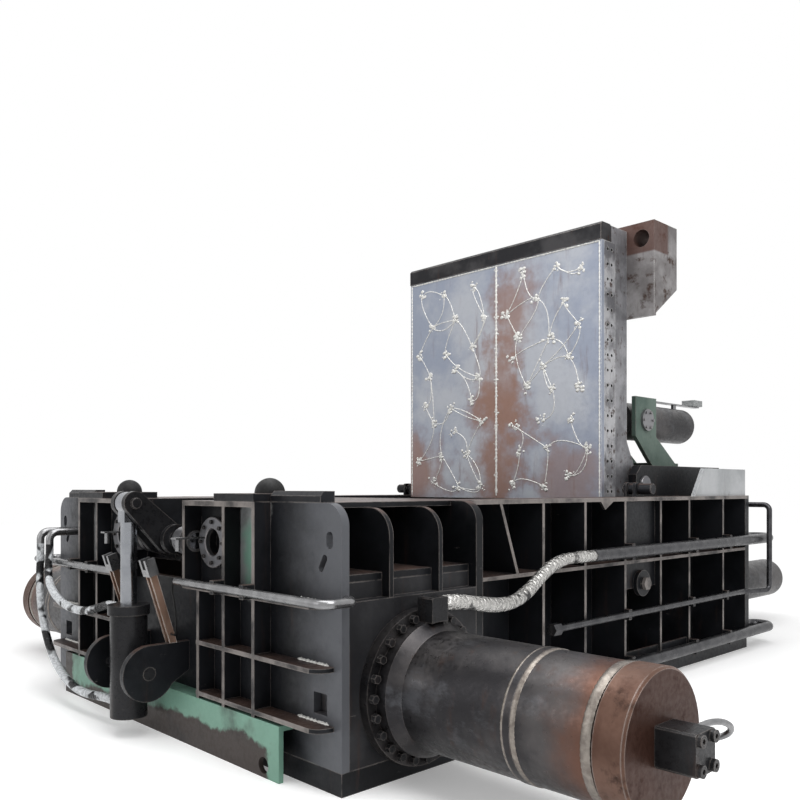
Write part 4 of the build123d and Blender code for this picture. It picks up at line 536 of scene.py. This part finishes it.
# Routes of the hoses and the cable, as in the CAD part
ROUTES = {
    "foil_hose": (
        (1.560, -0.230, 1.050), (1.560, -0.390, 1.050), (1.568, -0.560, 1.052), (1.588, -0.740, 1.028),
        (1.620, -0.910, 0.976), (1.660, -1.070, 0.916), (1.704, -1.230, 0.868), (1.756, -1.400, 0.846),
        (1.806, -1.590, 0.850), (1.846, -1.790, 0.878), (1.868, -1.970, 0.912), (1.875, -2.090, 0.925),
        (1.875, -2.180, 0.925),
    ),
    "upper_door_hose": (
        (-1.400, -3.000, 1.120), (-1.400, -3.000, 1.030), (-1.380, -3.018, 0.944), (-1.322, -3.038, 0.872),
        (-1.232, -3.056, 0.820), (-1.124, -3.064, 0.768), (-1.000, -3.070, 0.732), (-0.860, -3.072, 0.710),
        (-0.715, -3.070, 0.702), (-0.575, -3.064, 0.712), (-0.450, -3.052, 0.742), (-0.345, -3.032, 0.774),
        (-0.250, -3.045, 0.785), (-0.150, -3.045, 0.785),
    ),
    "lower_door_hose": (
        (-1.580, -3.000, 1.120), (-1.580, -3.000, 1.005), (-1.558, -3.014, 0.890), (-1.516, -3.028, 0.775),
        (-1.456, -3.042, 0.662), (-1.384, -3.052, 0.548), (-1.296, -3.060, 0.440), (-1.190, -3.066, 0.342),
        (-1.066, -3.070, 0.260), (-0.926, -3.072, 0.200), (-0.776, -3.070, 0.164), (-0.626, -3.064, 0.148),
        (-0.476, -3.046, 0.154), (-0.316, -3.045, 0.170), (-0.150, -3.045, 0.170),
    ),
    "sensor_cable": (
        (0.417, -2.945, 0.985), (0.393, -2.945, 0.985), (0.376, -2.946, 0.970), (0.371, -2.948, 0.944),
        (0.381, -2.952, 0.912), (0.402, -2.956, 0.876), (0.424, -2.960, 0.832), (0.438, -2.962, 0.784),
        (0.438, -2.960, 0.738), (0.422, -2.952, 0.698), (0.394, -2.938, 0.668), (0.358, -2.922, 0.650),
        (0.320, -2.908, 0.646), (0.285, -2.908, 0.646),
    ),
}
# Each hose: its node, diameter, length, stiffness, slot and material
HOSES = (
    ("foil_hose", 0.085, 2.02, "stiff", "foil_wrap", foil),
    ("upper_door_hose", 0.056, 1.49, "medium", "hose_wrap", film),
    ("lower_door_hose", 0.056, 1.98, "medium", "hose_wrap", film),
    ("sensor_cable", 0.012, 0.49, "limp", "cable_black", cable),
)
for node, diameter, length, stiffness, slot, material in HOSES:
    hose = route_curve(node + "_run", ROUTES[node], diameter / 2, FOIL_LUMP if material is foil else 0.0)
    hose.data.materials.append(material)
    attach(hose, "frame")
    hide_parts(node)


def mesh_piece(name, build, material, body):
    """Makes a mesh with a build function and fixes it to a body."""
    mesh = bpy.data.meshes.new(name)
    shape = bmesh.new()
    build(shape)
    shape.to_mesh(mesh)
    shape.free()
    for face in mesh.polygons:
        face.use_smooth = True
    piece = bpy.data.objects.new(name, mesh)
    bpy.context.collection.objects.link(piece)
    mesh.materials.append(material)
    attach(piece, body)
    return piece


# Ripples along a weld, its strays, its thin ends and the steps round its section
RIPPLE_TURN = 2.1
BEAD_RIPPLE = 0.25
BEAD_STRAY = 0.18
BEAD_TAPER = 0.35
BEAD_PROFILE = 4


def swell(chance, index, ripple, stray):
    """The share of its full size that a weld has at a step along it."""
    return 1 - ripple + ripple * math.cos(index * RIPPLE_TURN) + chance.uniform(-stray, stray)


def skin(shape, rows):
    """Lays faces between each row of vertices and the next."""
    for row, following in zip(rows, rows[1:]):
        for corners in zip(row, row[1:], following[1:], following):
            shape.faces.new(corners)


def bead(shape, path, half_width, rise, away, seed):
    """Lays a rippled weld bead along a path on a surface that faces away."""
    chance = random.Random(seed)
    rows = []
    for index, place in enumerate(path):
        ahead = path[min(index + 1, len(path) - 1)] - path[max(index - 1, 0)]
        across = ahead.cross(away).normalized()
        size = swell(chance, index, BEAD_RIPPLE, BEAD_STRAY)
        if index in (0, len(path) - 1):
            size *= BEAD_TAPER
        row = []
        for turn in range(BEAD_PROFILE + 1):
            angle = math.pi * turn / BEAD_PROFILE
            aside = across * (math.cos(angle) * half_width * size)
            row.append(shape.verts.new(place + aside + away * (math.sin(angle) * rise * size)))
        rows.append(row)
    skin(shape, rows)


def straight(start, end, step):
    """Evenly spaced points from start to end."""
    start, end = Vector(start), Vector(end)
    count = max(2, round((end - start).length / step))
    return [start.lerp(end, index / count) for index in range(count + 1)]


# Plug welds of the lid's wear plates
OUT = Vector((0, -1, 0))
WELD_LIFT = 0.0005
PLUG_ROWS = 8
PLUG_COLUMNS = 3
PLUG_PITCH = 0.26
PLUG_LOW = 0.16
PLUG_INNER = 0.07
PLUG_MARGIN = 0.16
PLUG_STAGGER = (-0.2, 0.25)
PLUG_STRAY_X = 0.06
PLUG_STRAY_Z = 0.07
PLUG_SPREAD = 0.036
SEAM_CLEARANCE = 0.05
EDGE_CLEARANCE = 0.06

# Trails that link the plug welds
LINK_NEAREST = 0.1
LINK_REACH = 0.50
WELD_STEP = 0.012
TRAIL_STEPS = 6
TRAIL_SWAY = 0.14
TRAIL_MARGIN = 0.03
TRAIL_HALF = 0.0055
TRAIL_RISE = 0.004

# Seams of the wear plates: half widths, and the lumps on the middle one
SEAM_INSET = 0.02
SIDE_SEAM = 0.008
MIDDLE_SEAM = 0.014
TOP_SEAM = 0.010
TOP_SEAM_DROP = 0.012
SEAM_RISE = 0.007
SEAM_LUMP_PITCH = 0.15
SEAM_LUMP_INSET = 0.05
SEAM_LUMP_SPREAD = 0.018

# Drops that a blob is made of
BLOB_DROPS = 14
DROP_SCATTER = 0.6
DROP_SIZE = (0.15, 0.55)
DROP_STRETCH = (0.6, 1.6)
DROP_LUMP = 0.15
DROP_FLATNESS = 0.20


def lid_welds(shape):
    """Plug weld blobs in a loose grid, thin trails that link them, and the plate seams."""
    chance = random.Random(7)
    face_y = LID_FACE_Y - WELD_LIFT
    plugs = []
    for side in (-1, 1):
        for row in range(PLUG_ROWS):
            for column in range(PLUG_COLUMNS):
                across = (column + 0.5 + PLUG_STAGGER[row % 2]) / PLUG_COLUMNS
                x = side * (PLUG_INNER + across * (LID_HALF - PLUG_MARGIN))
                x += chance.uniform(-PLUG_STRAY_X, PLUG_STRAY_X)
                z = LID_LOW + PLUG_LOW + row * PLUG_PITCH
                z += chance.uniform(-PLUG_STRAY_Z, PLUG_STRAY_Z)
                if SEAM_CLEARANCE < abs(x) < LID_HALF - EDGE_CLEARANCE:
                    plugs.append(Vector((x, face_y, z)))
    for plug in plugs:
        blob(shape, plug, chance, PLUG_SPREAD)
        near = [
            other for other in plugs
            if LINK_NEAREST < (other - plug).length < LINK_REACH and other.x * plug.x > 0
        ]
        for other in chance.sample(near, min(len(near), chance.randint(1, 2))):
            trail(shape, plug, other, chance)
    side, low, high = LID_HALF - SEAM_INSET, LID_LOW + SEAM_INSET, LID_BLADE_Z
    for x, half_width in ((-side, SIDE_SEAM), (0, MIDDLE_SEAM), (side, SIDE_SEAM)):
        upright = straight((x, face_y, low), (x, face_y, high), WELD_STEP)
        bead(shape, upright, half_width, SEAM_RISE, OUT, seed=3)
    lump_low, lump_high = low + SEAM_LUMP_INSET, high - SEAM_LUMP_INSET
    for lump in straight((0, face_y, lump_low), (0, face_y, lump_high), SEAM_LUMP_PITCH):
        blob(shape, lump, chance, SEAM_LUMP_SPREAD)
    top = high - TOP_SEAM_DROP
    level = straight((-side, face_y, top), (side, face_y, top), WELD_STEP)
    bead(shape, level, TOP_SEAM, SEAM_RISE, OUT, seed=4)


def blob(shape, centre, chance, spread):
    """A flat lumpy weld with spatter round it."""
    for _ in range(BLOB_DROPS):
        scatter = Vector((chance.gauss(0, DROP_SCATTER), 0, chance.gauss(0, DROP_SCATTER)))
        place = centre + scatter * spread
        size = chance.uniform(*DROP_SIZE) * spread
        stretch = chance.uniform(*DROP_STRETCH)
        made = bmesh.ops.create_icosphere(shape, subdivisions=1, radius=size)
        for vert in made["verts"]:
            vert.co *= 1 + chance.uniform(-DROP_LUMP, DROP_LUMP)
            vert.co.x *= stretch
            vert.co.y *= DROP_FLATNESS
            vert.co += place


def trail(shape, start, end, chance):
    """A thin curling line of weld from one blob to another."""
    sway = Vector((chance.uniform(-TRAIL_SWAY, TRAIL_SWAY), 0, chance.uniform(-TRAIL_SWAY, TRAIL_SWAY)))
    middle = (start + end) / 2 + sway
    limit = LID_HALF - TRAIL_MARGIN
    middle.x = max(-limit, min(limit, middle.x))
    count = max(TRAIL_STEPS, round((end - start).length / WELD_STEP))
    shares = [index / count for index in range(count + 1)]
    path = [start.lerp(middle, share).lerp(middle.lerp(end, share), share) for share in shares]
    bead(shape, path, TRAIL_HALF, TRAIL_RISE, OUT, seed=chance.random())


mesh_piece("lid_welds", lid_welds, weld, "lid")

# Fillet welds where the front shelves of the CAD part meet its front wall
SHELF_TOPS = (0.3425, 0.6425, 0.9625)
SHELF_WELD = (1.40, 1.66)
SHELF_WELD_STEP = 0.010
SHELF_WELD_HALF = 0.016
SHELF_WELD_RISE = 0.012


def shelf_welds(shape):
    """A bead along the outer end of each front shelf, in the corner with the wall."""
    corner = Vector((0, -1, 1)).normalized()
    for side in (-1, 1):
        for top in SHELF_TOPS:
            start, end = ((side * x, FRONT_WALL_Y, top) for x in SHELF_WELD)
            path = straight(start, end, SHELF_WELD_STEP)
            bead(shape, path, SHELF_WELD_HALF, SHELF_WELD_RISE, corner, seed=5)


mesh_piece("shelf_welds", shelf_welds, weld, "frame")

# Weld bands round the side cylinders: places along X and half widths
RING_BANDS = ((2.600, 0.012), (2.652, 0.020), (3.030, 0.026))
RING_SINK = 0.001
RING_RISE = 0.006
RING_RIPPLE = 0.06
RING_STRAY = 0.03
RING_STEPS = 240
RING_PROFILE = 8


def ring_beads(shape):
    """Weld bands round the near and far side cylinders."""
    for side in (-1, 1):
        for x, half_width in RING_BANDS:
            ring(shape, side * x, half_width)


def ring(shape, x, half_width):
    """One closed band of weld round a tube that lies along X, with faint ripples."""
    chance = random.Random(11)
    rows = []
    for index in range(RING_STEPS):
        angle = 2 * math.pi * index / RING_STEPS
        out = Vector((0, math.cos(angle), math.sin(angle)))
        centre = Vector((x, *SIDE_AXIS)) + out * (SIDE_TUBE_RADIUS - RING_SINK)
        size = swell(chance, index, RING_RIPPLE, RING_STRAY)
        row = []
        for turn in range(RING_PROFILE + 1):
            profile = math.pi * turn / RING_PROFILE
            along = Vector((math.cos(profile) * half_width * size, 0, 0))
            row.append(shape.verts.new(centre + along + out * (math.sin(profile) * RING_RISE * size)))
        rows.append(row)
    skin(shape, rows + rows[:1])


mesh_piece("cylinder_welds", ring_beads, ring_weld, "frame")

# Small drain pipe that loops from the near port block back into the cap
CAP_PIPE = (
    (3.300, -2.165, 0.545), (3.315, -2.080, 0.560), (3.345, -1.990, 0.555), (3.360, -1.930, 0.520),
    (3.330, -1.915, 0.475), (3.260, -1.955, 0.450), (3.200, -2.000, 0.445),
)
CAP_PIPE_RADIUS = 0.014
cap_pipe = route_curve("cap_pipe", CAP_PIPE, CAP_PIPE_RADIUS)
cap_pipe.data.materials.append(silver)
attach(cap_pipe, "frame")

# Floor, light and camera
floor_mesh = bpy.data.meshes.new("floor")
half = FLOOR_SIZE / 2
corners = [(-half, -half, 0), (half, -half, 0), (half, half, 0), (-half, half, 0)]
floor_mesh.from_pydata(corners, [], [(0, 1, 2, 3)])
floor = bpy.data.objects.new("floor", floor_mesh)
bpy.context.collection.objects.link(floor)
floor_shader = Shader("floor")
away = floor_shader.add("ShaderNodeVectorMath", {0: floor_shader.place}, operation="LENGTH").outputs["Value"]
fade = floor_shader.steps(away, *FLOOR_FADE)
floor_shader.join((1, 1, 1), floor_shader.body.inputs["Emission Color"])
glow = floor_shader.steps(fade, 0, 1, FLOOR_GLOW, 1)
floor_shader.join(glow, floor_shader.body.inputs["Emission Strength"])
floor_colour = floor_shader.mix(fade, FLOOR_COLOUR, (0, 0, 0))
floor_mesh.materials.append(floor_shader.finish(floor_colour, roughness=0.9, metallic=0.0))

# White surround for the camera and for mirrored rays, dimmer as a light
world = bpy.data.worlds.new("studio")
bpy.context.scene.world = world
world.use_nodes = True
sky = world.node_tree.nodes["Background"]
sky.inputs["Color"].default_value = (1, 1, 1, 1)
ray = world.node_tree.nodes.new("ShaderNodeLightPath")
strength = world.node_tree.nodes.new("ShaderNodeMapRange")
strength.inputs["To Min"].default_value = WORLD_LIGHT
seen = ray.outputs["Is Camera Ray"]
for kind in ("Is Glossy Ray", "Is Transmission Ray"):
    either = world.node_tree.nodes.new("ShaderNodeMath")
    either.operation = "MAXIMUM"
    world.node_tree.links.new(seen, either.inputs[0])
    world.node_tree.links.new(ray.outputs[kind], either.inputs[1])
    seen = either.outputs[0]
world.node_tree.links.new(seen, strength.inputs["Value"])
world.node_tree.links.new(strength.outputs["Result"], sky.inputs["Strength"])


def lamp(name, place, target, size, power):
    """A square soft lamp that faces a target."""
    light = bpy.data.lights.new(name, "AREA")
    light.size = size
    light.energy = power
    piece = bpy.data.objects.new(name, light)
    piece.location = place
    piece.rotation_euler = (Vector(target) - Vector(place)).to_track_quat("-Z", "Y").to_euler()
    bpy.context.collection.objects.link(piece)


lamp("key", place=(8, -3, 9), target=(0.5, -0.5, 1), size=6, power=600)
lamp("top", place=(0, -2, 10), target=(0, -1, 0), size=8, power=700)
lamp("fill", place=(-3, -10, 5), target=(0, -1, 1), size=6, power=160)

camera_data = bpy.data.cameras.new("camera")
camera_data.lens = LENS
camera_data.sensor_width = SENSOR_WIDTH
camera_data.shift_y = LENS_SHIFT
camera = bpy.data.objects.new("camera", camera_data)
camera.location = CAMERA_PLACE
camera.rotation_euler = (math.radians(90), 0, math.radians(CAMERA_TURN))
bpy.context.collection.objects.link(camera)
bpy.context.scene.camera = camera
bpy.context.scene.view_settings.view_transform = "Standard"
